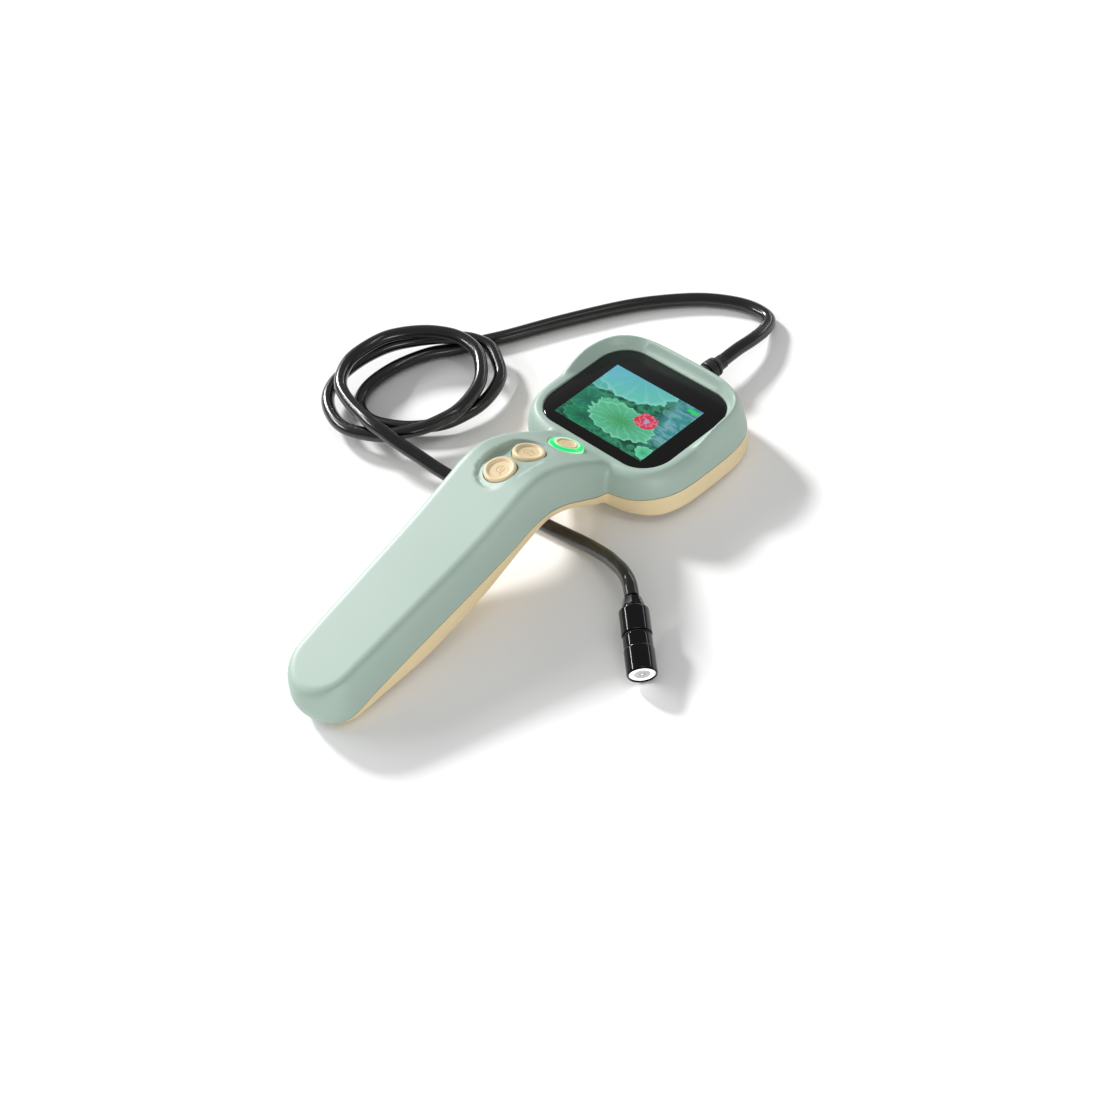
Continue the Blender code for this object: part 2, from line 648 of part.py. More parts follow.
def add_tube(name, route, radius, material, parent, resolution):
    """Round tube through route points, in millimetres, with flat closed ends."""
    curve = bpy.data.curves.new(name, "CURVE")
    curve.dimensions = "3D"
    curve.bevel_depth = radius * MM
    curve.bevel_resolution = resolution
    curve.use_fill_caps = True
    spline = curve.splines.new("POLY")
    spline.points.add(len(route) - 1)
    for point, place in zip(spline.points, route):
        point.co = (place[0] * MM, place[1] * MM, place[2] * MM, 1.0)
    curve.materials.append(material)
    item = bpy.data.objects.new(name, curve)
    bpy.context.collection.objects.link(item)
    item.parent = parent
    return item


# ---------------------------------------------------------------- buttons

def build_buttons(cream, frame):
    """Two dished keys and the power key in its light ring; each origin is on its key's axis.

    A level is half width, half length and height. Ears to the left and right keep a key in its bore.
    """
    top = ((5.5, 5.5, -0.3), (5.1, 5.1, 0.15), (4.3, 4.3, 0.1), (3.2, 3.2, -0.35), (1.6, 1.6, -0.6),
           (0.4, 0.4, -0.65))
    key = ((1.8, 1.8, -4.6), (1.8, 1.8, -4.0), (6.9, 5.5, -4.0), (6.9, 5.5, -3.2), (5.5, 5.5, -3.2)) + top
    power = ((1.5, 1.5, -5.4), (1.5, 1.5, -4.9), (4.7, 4.7, -4.9), (4.7, 4.7, -4.3), (3.75, 3.75, -4.3),
             (3.75, 3.75, -0.2), (3.4, 3.4, 0.1), (2.4, 2.4, 0.0), (0.4, 0.4, -0.2))
    circle = unit_circle(24)
    for name, levels, place in (("power_button", power, POWER_BUTTON), ("photo_button", key, PHOTO_BUTTON),
                                ("mode_button", key, MODE_BUTTON)):
        rings = [[(wide * x, long * y, height) for x, y in circle] for wide, long, height in levels]
        y, z, lean = place
        add_solid(name, *loft(rings), cream, frame, (0, y, z), -lean)


def build_light_ring(frame):
    """Clear green ring round the power key, with a flange behind the shell's wall."""
    glow = make_material("green_light_guide", GREEN_LIGHT, 0.3, 0.0, 2.0)
    inner, outer = RING_RADII
    wide = outer + 0.6
    profile = ((outer - 0.4, 0.3), (outer, -0.1), (outer, -3.3), (wide, -3.3), (wide, -4.0),
               (inner, -4.0), (inner, -0.1), (inner + 0.4, 0.3))
    y, z, lean = POWER_BUTTON
    add_solid("light_ring", *turned_ring(profile), glow, frame, (0, y, z), -lean)


def build_switches(frame):
    """A small click switch under each key, on one flexible circuit that follows the neck."""
    metal = make_material("switch_plate", STEEL, 0.3, 1.0)
    stops = ((POWER_BUTTON, "power_switch", -5.4), (PHOTO_BUTTON, "photo_switch", -4.6),
             (MODE_BUTTON, "mode_switch", -4.6))
    for place, name, foot in stops:
        top = foot - BUTTON_TRAVEL - 0.1
        rings = []
        for half, power, height in ((3.0, 8.0, top - 2.7), (3.0, 8.0, top - 0.7), (1.5, 2.0, top - 0.7),
                                    (1.5, 2.0, top)):
            ring = []
            for step in range(16):
                angle = 2 * math.pi * (step + 0.5) / 16
                c, s = math.cos(angle), math.sin(angle)
                reach = half * (abs(c) ** power + abs(s) ** power) ** (-1 / power)
                ring.append((reach * c, reach * s, height))
            rings.append(ring)
        y, z, lean = place
        add_solid(name, *loft(rings), metal, frame, (0, y, z), -lean)
    film = make_material("flexible_circuit", AMBER_FILM, 0.4)
    path = []
    for step in range(9):
        y = -64.0 + 5.0 * step
        slope = top_line(y + 0.5) - top_line(y - 0.5)
        reach = KEY_FLEX_DEPTH / math.hypot(slope, 1.0)
        path.append((y + slope * reach, top_line(y) - reach))
    add_solid("key_flex", *strip_along(path, 11.0, 0.3), film, frame)


# ---------------------------------------------------------------- fasteners and cable

def build_screws(frame):
    steel = make_material("screw_steel", (0.30, 0.30, 0.31, 1.0), 0.3, 1.0)
    head_radius, head_height = SCREW_HEAD
    for index, (x, y) in enumerate(SCREW_PLACES, start=1):
        root, seam, seat = screw_seat(x, y)
        length = min(root - 1.0, seam + 8.0) - seat
        profile = ((head_radius - 0.4, -GAP - head_height), (head_radius, -GAP - head_height + 0.5),
                   (head_radius, -GAP), (SCREW_SHANK, -GAP), (SCREW_SHANK, length - 0.8), (0.3, length))
        add_solid(f"case_screw_{index}", *turned(profile, 12), steel, frame, (x, y, seat))


def build_gland(rubber, frame):
    """Ribbed strain relief: a flange inside the wall, a neck in the hole, ribs and a collar outside."""
    profile = [(3.9, -7.2), (3.9, -5.7), (3.0, -5.7), (3.0, 0.9)]
    for step in range(2):
        start = 1.0 + 3.4 * step
        profile += [(3.3, start), (3.3, start + 2.2), (2.8, start + 2.5), (2.8, start + 3.1)]
    profile += [(3.5, 8.0), (3.8, 8.6), (3.8, 11.2), (3.3, 12.2), (2.9, GLAND_LENGTH)]
    turn = Matrix.Rotation(math.radians(-90), 3, "X")
    points, faces = moved(turned(profile, 20), (0, 0, 0), turn)
    add_solid("cable_gland", points, faces, rubber, frame, (0, OUTLET_Y, OUTLET_Z))
    lead = make_material("inner_lead_jacket", (0.03, 0.03, 0.03, 1.0), 0.5)
    inner_y = OUTLET_Y - 7.2 - GAP
    route = ((0, inner_y, -8.8), (0, inner_y - 1.6, -8.8), (0.4, inner_y - 3.2, -9.9),
             (1.2, inner_y - 4.8, -11.2), (1.8, 18.6, -11.5), (2.0, 17.2, -11.5))
    add_tube("inner_lead", route, 0.9, lead, frame, 2)


def smooth_route(stops, spacing):
    """Even points along a Catmull-Rom curve through stops."""
    knots = [Vector(p) for p in stops]
    dense = []
    for index in range(len(knots) - 1):
        a = knots[index - 1] if index else knots[0] * 2 - knots[1]
        b, c = knots[index], knots[index + 1]
        d = knots[index + 2] if index + 2 < len(knots) else knots[-1] * 2 - knots[-2]
        for step in range(24):
            t = step / 24
            dense.append(0.5 * ((2 * b) + (c - a) * t + (2 * a - 5 * b + 4 * c - d) * t**2
                                + (3 * b - a - 3 * c + d) * t**3))
    dense.append(knots[-1])
    total = sum((dense[i + 1] - dense[i]).length for i in range(len(dense) - 1))
    count = int(round(total / spacing))
    route, walked, target = [dense[0]], 0.0, total / count
    for i in range(len(dense) - 1):
        run = (dense[i + 1] - dense[i]).length
        while walked + run >= target - 1e-9 and len(route) < count:
            route.append(dense[i].lerp(dense[i + 1], (target - walked) / run))
            target += total / count
        walked += run
    route.append(dense[-1])
    return route


def build_cable():
    """Free cable, from the gland's end face to the probe's collar."""
    jacket = make_material("black_cable_jacket", BLACK, 0.2)
    floor_level = CABLE_RADIUS + FLOOR_AIR
    route = smooth_route([(x, y, floor_level + lift) for x, y, lift in CABLE_STOPS], CABLE_POINT_SPACING)
    add_tube("cable", route, CABLE_RADIUS, jacket, None, 2)


def build_probe():
    """Probe pieces on one axis, measured from the back of the collar at 0 to the front face."""
    metal = make_material("black_nickel", (0.03, 0.03, 0.032, 1.0), 0.12, 1.0)
    rubber = make_material("probe_seal_rubber", BLACK, 0.7)
    window = make_material("probe_window", WINDOW_GREY, 0.05, 0.0, 0.5)
    optic = make_material("lens_barrel", (0.02, 0.02, 0.025, 1.0), 0.3)
    board = make_material("led_board_white", (0.8, 0.8, 0.8, 1.0), 0.5)
    heading, dip = math.radians(PROBE_HEADING_DEG), math.radians(PROBE_DIP_DEG)
    axis = Vector((math.cos(dip) * math.cos(heading), math.cos(dip) * math.sin(heading), -math.sin(dip)))
    back = Vector(PROBE_TIP) - axis * PROBE_LENGTH
    front = PROBE_LENGTH
    pieces = (
        ("probe_collar", metal, 8, ((2.9, 0.0), (3.9, 3.4), (3.9, 3.6)), False),
        ("probe_body", metal, 20, ((3.6, 3.9), (4.0, 3.9), (4.9, 4.9), (4.9, 13.4), (4.0, 13.4), (4.0, 4.9),
                                   (3.6, 4.6)), True),
        ("probe_seal", rubber, 20, ((4.1, 13.6), (4.6, 13.6), (4.6, 14.0), (4.1, 14.0)), True),
        ("probe_nose", metal, 20, ((3.1, 9.8), (3.7, 9.8), (3.7, 14.3), (4.7, 14.3), (4.7, 18.8),
                                   (4.9, 19.1), (4.9, front - 0.3), (4.6, front), (4.2, front),
                                   (4.2, front - 1.6), (3.1, front - 1.6)), True),
        ("probe_window", window, 20, ((3.9, front - 1.3), (3.9, front - 0.4)), False),
        ("led_board", board, 16, ((2.1, front - 3.0), (2.8, front - 3.0), (2.8, front - 1.7),
                                  (2.1, front - 1.7)), True),
        ("camera_module", optic, 16, ((1.8, 15.0), (1.8, front - 2.4), (1.2, front - 1.7)), False),
    )
    for name, material, sides, profile, ringed in pieces:
        shape = turned_ring(profile, sides) if ringed else turned(profile, sides)
        item = add_solid(name, *shape, material, None, back)
        item.rotation_euler = axis.to_track_quat("Z", "Y").to_euler()


def main():
    clear_scene()
    frame = make_rest_frame()
    sage = make_material("sage_abs", SAGE, 0.42)
    cream = make_material("cream_abs", CREAM, 0.42)
    key_cream = make_material("key_cream", CREAM, 0.5)
    rubber = make_material("black_rubber", BLACK, 0.6)
    build_shells(sage, cream, frame)
    build_screen(frame)
    build_boards(frame)
    build_battery(frame)
    build_buttons(key_cream, frame)
    build_light_ring(frame)
    build_switches(frame)
    build_screws(frame)
    build_gland(rubber, frame)
    build_cable()
    build_probe()


main()
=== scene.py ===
"""Looks of a handheld inspection camera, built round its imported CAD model.

Lengths are millimetres unless a name says otherwise, and a finished mesh is turned to metres. Housing
pieces are drawn in the screen's own frame (middle of the picture at the origin, +X right, +Y up the
screen, +Z out of the glass) and then stood on the floor the way the tool rests.
"""

import math

import bmesh
import bpy
import numpy as np
from mathutils import Matrix, Vector


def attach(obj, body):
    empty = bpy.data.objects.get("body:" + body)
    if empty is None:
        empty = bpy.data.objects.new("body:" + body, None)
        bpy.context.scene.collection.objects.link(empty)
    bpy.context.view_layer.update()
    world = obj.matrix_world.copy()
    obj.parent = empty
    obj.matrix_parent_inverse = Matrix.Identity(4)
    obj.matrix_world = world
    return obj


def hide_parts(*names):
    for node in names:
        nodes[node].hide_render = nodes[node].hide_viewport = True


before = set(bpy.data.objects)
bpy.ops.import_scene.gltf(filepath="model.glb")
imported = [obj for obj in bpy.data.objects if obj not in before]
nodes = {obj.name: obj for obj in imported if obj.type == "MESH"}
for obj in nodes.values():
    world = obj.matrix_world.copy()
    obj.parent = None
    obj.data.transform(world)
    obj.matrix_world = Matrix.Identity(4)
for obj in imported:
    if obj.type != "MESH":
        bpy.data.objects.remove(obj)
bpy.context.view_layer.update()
MM = 0.001


# ================================================================ camera, floor and studio light
# A white table under a low sun-like key from the left, a soft dome all round, a broad fill on the near
# side, and three strips whose reflections run along the black cable and the probe.

CAMERA_PLACE = (405.35, -268.9, 504.03)
CAMERA_AZIMUTH = 55.63
CAMERA_ELEVATION = 46.4
CAMERA_ROLL = -13.71
LENS = 68.73
FLOOR_HALF = 4000
DOME_STRENGTH = 0.37
SUN_STRENGTH = 3.45
SUN_SPREAD = 9.0                        # apparent width in degrees
SUN_RUN = (1.0, -0.08, -0.58)
SOFTBOXES = (                           # name, place, aim and size in metres, and watts
    ("near_fill", (1.15, -0.80, 0.34), (0, 0, 0.02), (0.90, 0.50), 9.0),
    ("far_strip", (-0.10, 1.35, 0.42), (0, 0.05, 0), (1.20, 0.06), 2.0),
    ("top_strip", (0.45, 0.10, 1.25), (0, 0.03, 0), (0.06, 0.90), 1.6),
    ("probe_strip", (-0.84, -0.44, 0.56), (0.07, -0.02, 0), (0.55, 0.035), 4.0),
)


def linear(hex_code):
    """sRGB hex colour as linear RGBA."""
    parts = [int(hex_code[i:i + 2], 16) / 255 for i in (1, 3, 5)]
    return tuple(c / 12.92 if c <= 0.04045 else ((c + 0.055) / 1.055) ** 2.4 for c in parts) + (1.0,)


def add_node(tree, kind, settings=None, inputs=None):
    """One node with its settings, and its inputs as values or as links from other nodes' outputs."""
    item = tree.nodes.new(kind)
    for name, value in (settings or {}).items():
        setattr(item, name, value)
    for name, value in (inputs or {}).items():
        if isinstance(value, bpy.types.NodeSocket):
            tree.links.new(value, item.inputs[name])
        else:
            item.inputs[name].default_value = value
    return item


def new_material(name, **values):
    """Principled material; values are sockets' names with _ for a space."""
    material = bpy.data.materials.new(name)
    material.use_nodes = True
    tree = material.node_tree
    shader = tree.nodes["Principled BSDF"]
    for key, value in values.items():
        shader.inputs[key.replace("_", " ")].default_value = value
    return material, tree, shader


def new_object(name, data):
    item = bpy.data.objects.new(name, data)
    bpy.context.collection.objects.link(item)
    return item


camera_data = bpy.data.cameras.new("camera")
camera_data.lens = LENS
camera_data.sensor_width = 36.0
camera_data.clip_end = 50.0
camera = new_object("camera", camera_data)
camera.matrix_world = (
    Matrix.Translation(Vector(CAMERA_PLACE) * MM)
    @ Matrix.Rotation(math.radians(CAMERA_AZIMUTH), 4, "Z")
    @ Matrix.Rotation(math.radians(90 - CAMERA_ELEVATION), 4, "X")
    @ Matrix.Rotation(math.radians(CAMERA_ROLL), 4, "Z"))
bpy.context.scene.camera = camera
bpy.context.scene.view_settings.view_transform = "Standard"

table_paint = new_material("white_table_lacquer", Base_Color=linear("#F6F6F6"), Roughness=0.85,
                           Specular_IOR_Level=0.1)[0]
floor_mesh = bpy.data.meshes.new("table")
floor_mesh.from_pydata([(x * FLOOR_HALF * MM, y * FLOOR_HALF * MM, 0)
                        for x, y in ((-1, -1), (1, -1), (1, 1), (-1, 1))], [], [(0, 1, 2, 3)])
floor_mesh.materials.append(table_paint)
new_object("table", floor_mesh)

world = bpy.data.worlds.new("soft_dome")
world.use_nodes = True
dome = world.node_tree.nodes["Background"].inputs
dome["Color"].default_value = (1.0, 1.0, 1.0, 1.0)
dome["Strength"].default_value = DOME_STRENGTH
bpy.context.scene.world = world

key_data = bpy.data.lights.new("key_light", "SUN")
key_data.energy = SUN_STRENGTH
key_data.angle = math.radians(SUN_SPREAD)
new_object("key_light", key_data).rotation_euler = Vector(SUN_RUN).to_track_quat("-Z", "Y").to_euler()
for lamp_name, lamp_place, lamp_aim, lamp_size, watts in SOFTBOXES:
    lamp_data = bpy.data.lights.new(lamp_name, "AREA")
    lamp_data.shape = "RECTANGLE"
    lamp_data.size, lamp_data.size_y = lamp_size
    lamp_data.energy = watts
    lamp = new_object(lamp_name, lamp_data)
    lamp.location = lamp_place
    lamp.rotation_euler = (Vector(lamp_aim) - Vector(lamp_place)).to_track_quat("-Z", "Y").to_euler()


# ================================================================ cable
# A semi-rigid gooseneck cable under a smooth extruded jacket. Black plasticised PVC with a gloss skin:
# it gives long white streaks of light and a slightly uneven line where it was bent by hand.

CABLE_RADIUS = 2.4
CABLE_FLOOR = 2.5                       # height of its middle where it lies on the table
CABLE_STEP = 0.9
CABLE_SIDES = 28
CABLE_STOPS = (                         # x, y and lift above the table, from the gland to the probe
    (0, 98.05, 4.9), (0, 106, 4.5), (0, 113.5, 3.4), (-1.5, 121.5, 1.5), (-5, 127.5, 0.4),
    (-13, 129, 0), (-22, 127, 0), (-33, 121.5, 0), (-44.5, 112, 0), (-54.5, 101, 0), (-67.5, 82.5, 0),
    (-77.5, 66.5, 0), (-83.5, 58, 0), (-88.5, 50, 0), (-94.5, 42.5, 0.2), (-98.5, 34, 0.25),
    (-100.5, 26, 0.3), (-100.5, 17.5, 0.4), (-98, 11, 0.5), (-93, 6.5, 0.65), (-85.5, 5, 0.8),
    (-78, 7, 1), (-71, 10.5, 1.25), (-65.5, 15, 1.5), (-61, 20, 1.8), (-58.5, 26, 2.1), (-57, 33, 2.5),
    (-58, 40.5, 2.9), (-61.5, 47.5, 3.3), (-68, 52, 3.8), (-75, 55, 4.25), (-82, 54, 4.75),
    (-87.5, 51, 5.15), (-94, 46.5, 5.05), (-100.5, 40.5, 4.7), (-106, 33.5, 4.45), (-109, 25.5, 4.2),
    (-110, 17.5, 4), (-109, 9, 3.9), (-106, 3, 3.8), (-100.5, -1.5, 3.85), (-93, -4.5, 3.95),
    (-86, -5, 4.15), (-79, -3, 4.4), (-72.5, 0, 4.75), (-67, 5, 5.2), (-62.5, 10.5, 5.7),
    (-59.5, 16.5, 6.25), (-57.5, 23, 6.85), (-58, 30, 7.4), (-60.5, 37, 7.75), (-65, 42.5, 8.05),
    (-72, 47.5, 8.45), (-78.5, 49, 8.85), (-85, 48.5, 9.25), (-91, 46, 9.65), (-96.5, 42.5, 9.8),
    (-102, 37.5, 9.7), (-106, 32, 9.5), (-108, 24.5, 9.3), (-108, 17, 9.2), (-105, 10.5, 9.1),
    (-100, 5.5, 9.1), (-93, 2.5, 9.2), (-85, 0.5, 9.5), (-76, -1, 9.95), (-69, -1, 9.4),
    (-61.5, -0.5, 7.6), (-52.5, 0.5, 5.6), (-41, 1.5, 3.7), (-26, 3.5, 2.05), (-11.5, 6.5, 0.5),
    (3, 8, 0), (12, 9, 0.1), (20.7, 9.2, 1.3), (30.5, 8, 3.9), (37.5, 6.2, 6.1), (43.8, 4, 8.2),
    (48.9, 1.4, 9.1), (53.15, -1.91, 8.3),
)


def smooth_through(rows, steps):
    """Rows of numbers on a Catmull-Rom curve through the given rows, with steps points to each gap."""
    knots = np.array(rows, float)
    padded = np.vstack([2 * knots[0] - knots[1], knots, 2 * knots[-1] - knots[-2]])
    t = np.linspace(0, 1, steps, endpoint=False)[:, None]
    out = []
    for a, b, c, d in zip(padded, padded[1:], padded[2:], padded[3:]):
        out.append(0.5 * (2 * b + (c - a) * t + (2 * a - 5 * b + 4 * c - d) * t**2
                          + (3 * b - a - 3 * c + d) * t**3))
    return np.vstack(out + [knots[-1:]])


def even_points(route, spacing):
    """The same line, with points a fixed distance apart."""
    walked = np.concatenate([[0], np.cumsum(np.linalg.norm(np.diff(route, axis=0), axis=1))])
    marks = np.linspace(0, walked[-1], int(round(walked[-1] / spacing)) + 1)
    return np.column_stack([np.interp(marks, walked, route[:, k]) for k in range(3)]), walked[-1]


def add_socket(tree, name, kind, value, in_out="INPUT"):
    socket = tree.interface.new_socket(name=name, in_out=in_out, socket_type=kind)
    if value is not None:
        socket.default_value = value
    return socket


def new_geometry_tree(name, inputs):
    """Geometry tree with a Geometry input and output, and named inputs given as name: (kind, value)."""
    tree = bpy.data.node_groups.new(name, "GeometryNodeTree")
    add_socket(tree, "Geometry", "NodeSocketGeometry", None)
    for key, (kind, value) in inputs.items():
        add_socket(tree, key, kind, value)
    add_socket(tree, "Geometry", "NodeSocketGeometry", None, "OUTPUT")
    return tree, tree.nodes.new("NodeGroupInput").outputs, tree.nodes.new("NodeGroupOutput").inputs


def copies(tree, points, item):
    return add_node(tree, "GeometryNodeInstanceOnPoints", None, {
        "Points": points, "Instance": item}).outputs["Instances"]


def finish_tree(tree, given, made, geometry):
    """Turns instances into plain mesh, gives all of it the finish and sends it out."""
    plain = add_node(tree, "GeometryNodeRealizeInstances", None, {"Geometry": geometry})
    painted = add_node(tree, "GeometryNodeSetMaterial", None, {
        "Geometry": plain.outputs["Geometry"], "Material": given["Finish"]})
    tree.links.new(painted.outputs["Geometry"], made["Geometry"])


def baked(base):
    """The object's mesh with its modifiers applied; the object itself goes."""
    bpy.context.view_layer.update()
    result = bpy.data.meshes.new_from_object(base.evaluated_get(bpy.context.evaluated_depsgraph_get()))
    bpy.data.objects.remove(base)
    return result


def grow(carrier, tree, material, **values):
    """Runs a geometry tree on the carrier object and gives back the plain mesh it makes."""
    step = carrier.modifiers.new(tree.name, "NODES")
    step.node_group = tree
    sizes = {key.replace("_", " "): value for key, value in values.items()}
    sizes["Finish"] = material
    for item in tree.interface.items_tree:
        if item.in_out == "INPUT" and item.name in sizes:
            step[item.identifier] = sizes[item.name]
    return baked(carrier)


def add_piece(name, mesh, replaced=(), body="housing", material=None, crease=35.0):
    """A finished piece from a mesh that is already in place, in metres."""
    if material is not None:
        mesh.materials.clear()
        mesh.materials.append(material)
    mesh.shade_smooth()
    mesh.set_sharp_from_angle(angle=math.radians(crease))
    piece = new_object(name, mesh)
    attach(piece, body)
    if replaced:
        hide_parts(*replaced)
    return piece


def object_place(tree):
    return add_node(tree, "ShaderNodeTexCoord").outputs["Object"]


def noise(tree, place, size_mm, detail=2.0):
    """Cloudy noise with spots of about the given size."""
    return add_node(tree, "ShaderNodeTexNoise", None, {
        "Vector": place, "Scale": 1 / (size_mm * MM), "Detail": detail}).outputs["Fac"]


def spread(tree, value, low_in, high_in, low, high):
    """Value carried from one range over to another, and held at its ends."""
    return add_node(tree, "ShaderNodeMapRange", None, {
        "Value": value, "From Min": low_in, "From Max": high_in,
        "To Min": low, "To Max": high}).outputs["Result"]


def add_relief(tree, shader, height, strength, depth_mm):
    bump = add_node(tree, "ShaderNodeBump", None, {
        "Height": height, "Strength": strength, "Distance": depth_mm * MM})
    tree.links.new(bump.outputs["Normal"], shader.inputs["Normal"])


def gloss_black(name, base, roughness, coat, wave_mm, wave_depth_mm):
    """Black gloss skin over a faintly wavy ground, which breaks up the streaks of light."""
    material, tree, shader = new_material(name, Base_Color=linear(base), Roughness=roughness,
                                          Coat_Weight=coat, Coat_Roughness=0.06)
    place = object_place(tree)
    add_relief(tree, shader, noise(tree, place, wave_mm), 1.0, wave_depth_mm)
    dust = noise(tree, place, 2.5, 3.0)
    tree.links.new(spread(tree, dust, 0.35, 0.75, roughness, roughness + 0.05), shader.inputs["Roughness"])
    return material


# PVC jacket, extruded: gloss skin with waves 9 mm long and a few microns deep
cable_jacket = gloss_black("black_pvc_jacket", "#060607", 0.21, 0.30, 9.0, 0.005)

jacket_tree, given, made = new_geometry_tree("jacket along a line", {
    "Radius": ("NodeSocketFloat", 0.002), "Sides": ("NodeSocketInt", 16),
    "Finish": ("NodeSocketMaterial", None)})
jacket_round = add_node(jacket_tree, "GeometryNodeCurvePrimitiveCircle", {"mode": "RADIUS"},
                        {"Resolution": given["Sides"], "Radius": given["Radius"]})
jacket_tube = add_node(jacket_tree, "GeometryNodeCurveToMesh", None, {
    "Curve": given["Geometry"], "Profile Curve": jacket_round.outputs["Curve"], "Fill Caps": True})
finish_tree(jacket_tree, given, made, jacket_tube.outputs["Mesh"])

cable_stops = [(x, y, lift + CABLE_FLOOR) for x, y, lift in CABLE_STOPS]
cable_line, cable_length = even_points(smooth_through(cable_stops, 24), CABLE_STEP)
cable_line[:, 2] = np.maximum(cable_line[:, 2], CABLE_RADIUS + 0.02)
cable_curve = bpy.data.curves.new("cable_line", "CURVE")
cable_curve.dimensions = "3D"
cable_spline = cable_curve.splines.new("POLY")
cable_spline.points.add(len(cable_line) - 1)
for spline_point, (x, y, z) in zip(cable_spline.points, cable_line * MM):
    spline_point.co = (x, y, z, 1.0)
cable_mesh = grow(new_object("cable_line", cable_curve), jacket_tree, cable_jacket,
                  Radius=CABLE_RADIUS * MM, Sides=CABLE_SIDES)
cable = add_piece("cable_jacket", cable_mesh, ["cable"], crease=60.0)


# ================================================================ camera probe
# Two turned brass sleeves in black nickel, screwed together over a rubber ring, with a faceted collar
# crimped on the cable. The front holds a clear window over a ring of lights and a small lens.

PROBE_TIP = (74.0, -19.9, 4.95)
PROBE_HEADING = -40.8
PROBE_DIP = 12.0
PROBE_LENGTH = 27.6
PROBE_SIDES = 96
FRONT = PROBE_LENGTH
ARC_STEPS = 4
CORNER_SHARE = 0.45                     # most of a wall's length that one rounded corner may take
SUPPORT = 1.1                           # reach of the support rings, as a share of the corner's

probe_axis = Vector((math.cos(math.radians(PROBE_DIP)) * math.cos(math.radians(PROBE_HEADING)),
                     math.cos(math.radians(PROBE_DIP)) * math.sin(math.radians(PROBE_HEADING)),
                     -math.sin(math.radians(PROBE_DIP))))
probe_back = Vector(PROBE_TIP) - probe_axis * PROBE_LENGTH
PROBE = (Matrix.Translation(probe_back * MM) @ probe_axis.to_track_quat("Z", "Y").to_matrix().to_4x4()
         @ Matrix.Diagonal((MM, MM, MM, 1.0)))


def mesh_from(name, points, faces):
    mesh = bpy.data.meshes.new(name)
    mesh.from_pydata([tuple(p) for p in points], [], faces)
    work = bmesh.new()
    work.from_mesh(mesh)
    bmesh.ops.recalc_face_normals(work, faces=work.faces)
    work.to_mesh(mesh)
    work.free()
    return mesh


def skin(rings, closed=False, caps=True):
    """Points and faces of a tube through rings of equal length; closed joins the last ring to the first."""
    count, levels = len(rings[0]), len(rings)
    points = [tuple(p) for ring in rings for p in ring]
    faces = []
    for level in range(levels if closed else levels - 1):
        low, high = level * count, ((level + 1) % levels) * count
        faces += [(low + i, low + (i + 1) % count, high + (i + 1) % count, high + i) for i in range(count)]
    if caps and not closed:
        faces += [tuple(range(count)), tuple((levels - 1) * count + i for i in range(count))]
    return points, faces


def lathe(profile, sides=PROBE_SIDES, ringed=False):
    """Turned solid about +Z. A profile point is radius and height, or radius, height and corner radius.

    A ring just past each end of a rounded corner keeps its shading off the straight wall."""
    path = []
    count = len(profile)
    for index, point in enumerate(profile):
        here = np.array(point[:2], float)
        corner = point[2] if len(point) > 2 else 0.0
        ends = not ringed and index in (0, count - 1)
        if corner <= 0 or ends:
            path.append(here)
            continue
        before = np.array(profile[index - 1][:2], float) - here
        after = np.array(profile[(index + 1) % count][:2], float) - here
        start = here + before / np.linalg.norm(before) * min(corner, np.linalg.norm(before) * CORNER_SHARE)
        stop = here + after / np.linalg.norm(after) * min(corner, np.linalg.norm(after) * CORNER_SHARE)
        path.append(here + SUPPORT * (start - here))
        for step in range(ARC_STEPS + 1):
            t = step / ARC_STEPS
            path.append((1 - t)**2 * start + 2 * t * (1 - t) * here + t**2 * stop)
        path.append(here + SUPPORT * (stop - here))
    turn = np.linspace(0, 2 * math.pi, sides, endpoint=False)
    rings = [np.column_stack([r * np.cos(turn), r * np.sin(turn), np.full(sides, z)]) for r, z in path]
    return skin(rings, closed=ringed)


def joined(shapes):
    points, faces = [], []
    for more_points, more_faces in shapes:
        base = len(points)
        points += [tuple(p) for p in more_points]
        faces += [tuple(base + i for i in face) for face in more_faces]
    return points, faces


def placed(shape, matrix):
    points, faces = shape
    return [tuple(matrix @ Vector(p)) for p in points], faces


def probe_part(name, shape, cad_name, material, crease=35.0):
    return add_piece(name, mesh_from(name, *placed(shape, PROBE)), [cad_name], material=material,
                     crease=crease)


def probe_space(tree):
    """Object coordinates turned so that Z runs along the probe."""
    return add_node(tree, "ShaderNodeMapping", {"vector_type": "TEXTURE"}, {
        "Vector": object_place(tree), "Location": probe_back * MM,
        "Rotation": probe_axis.to_track_quat("Z", "Y").to_euler()}).outputs["Vector"]


def scaled_by(tree, vector, factors):
    return add_node(tree, "ShaderNodeVectorMath", {"operation": "MULTIPLY"}, {
        0: vector, 1: factors}).outputs["Vector"]


def black_nickel_finish():
    """Black nickel plate over turned brass: dark mirror with the faint rings that the lathe tool left."""
    material, tree, shader = new_material("black_nickel_plate", Base_Color=linear("#202022"), Metallic=1.0,
                                          Roughness=0.12, Coat_Weight=0.35, Coat_Roughness=0.04)
    rings = noise(tree, scaled_by(tree, probe_space(tree), (0.02, 0.02, 1.0)), 0.35)
    add_relief(tree, shader, rings, 0.2, 0.004)
    return material


black_nickel = black_nickel_finish()
seal_rubber = gloss_black("nitrile_rubber_ring", "#141414", 0.55, 0.0, 0.8, 0.01)

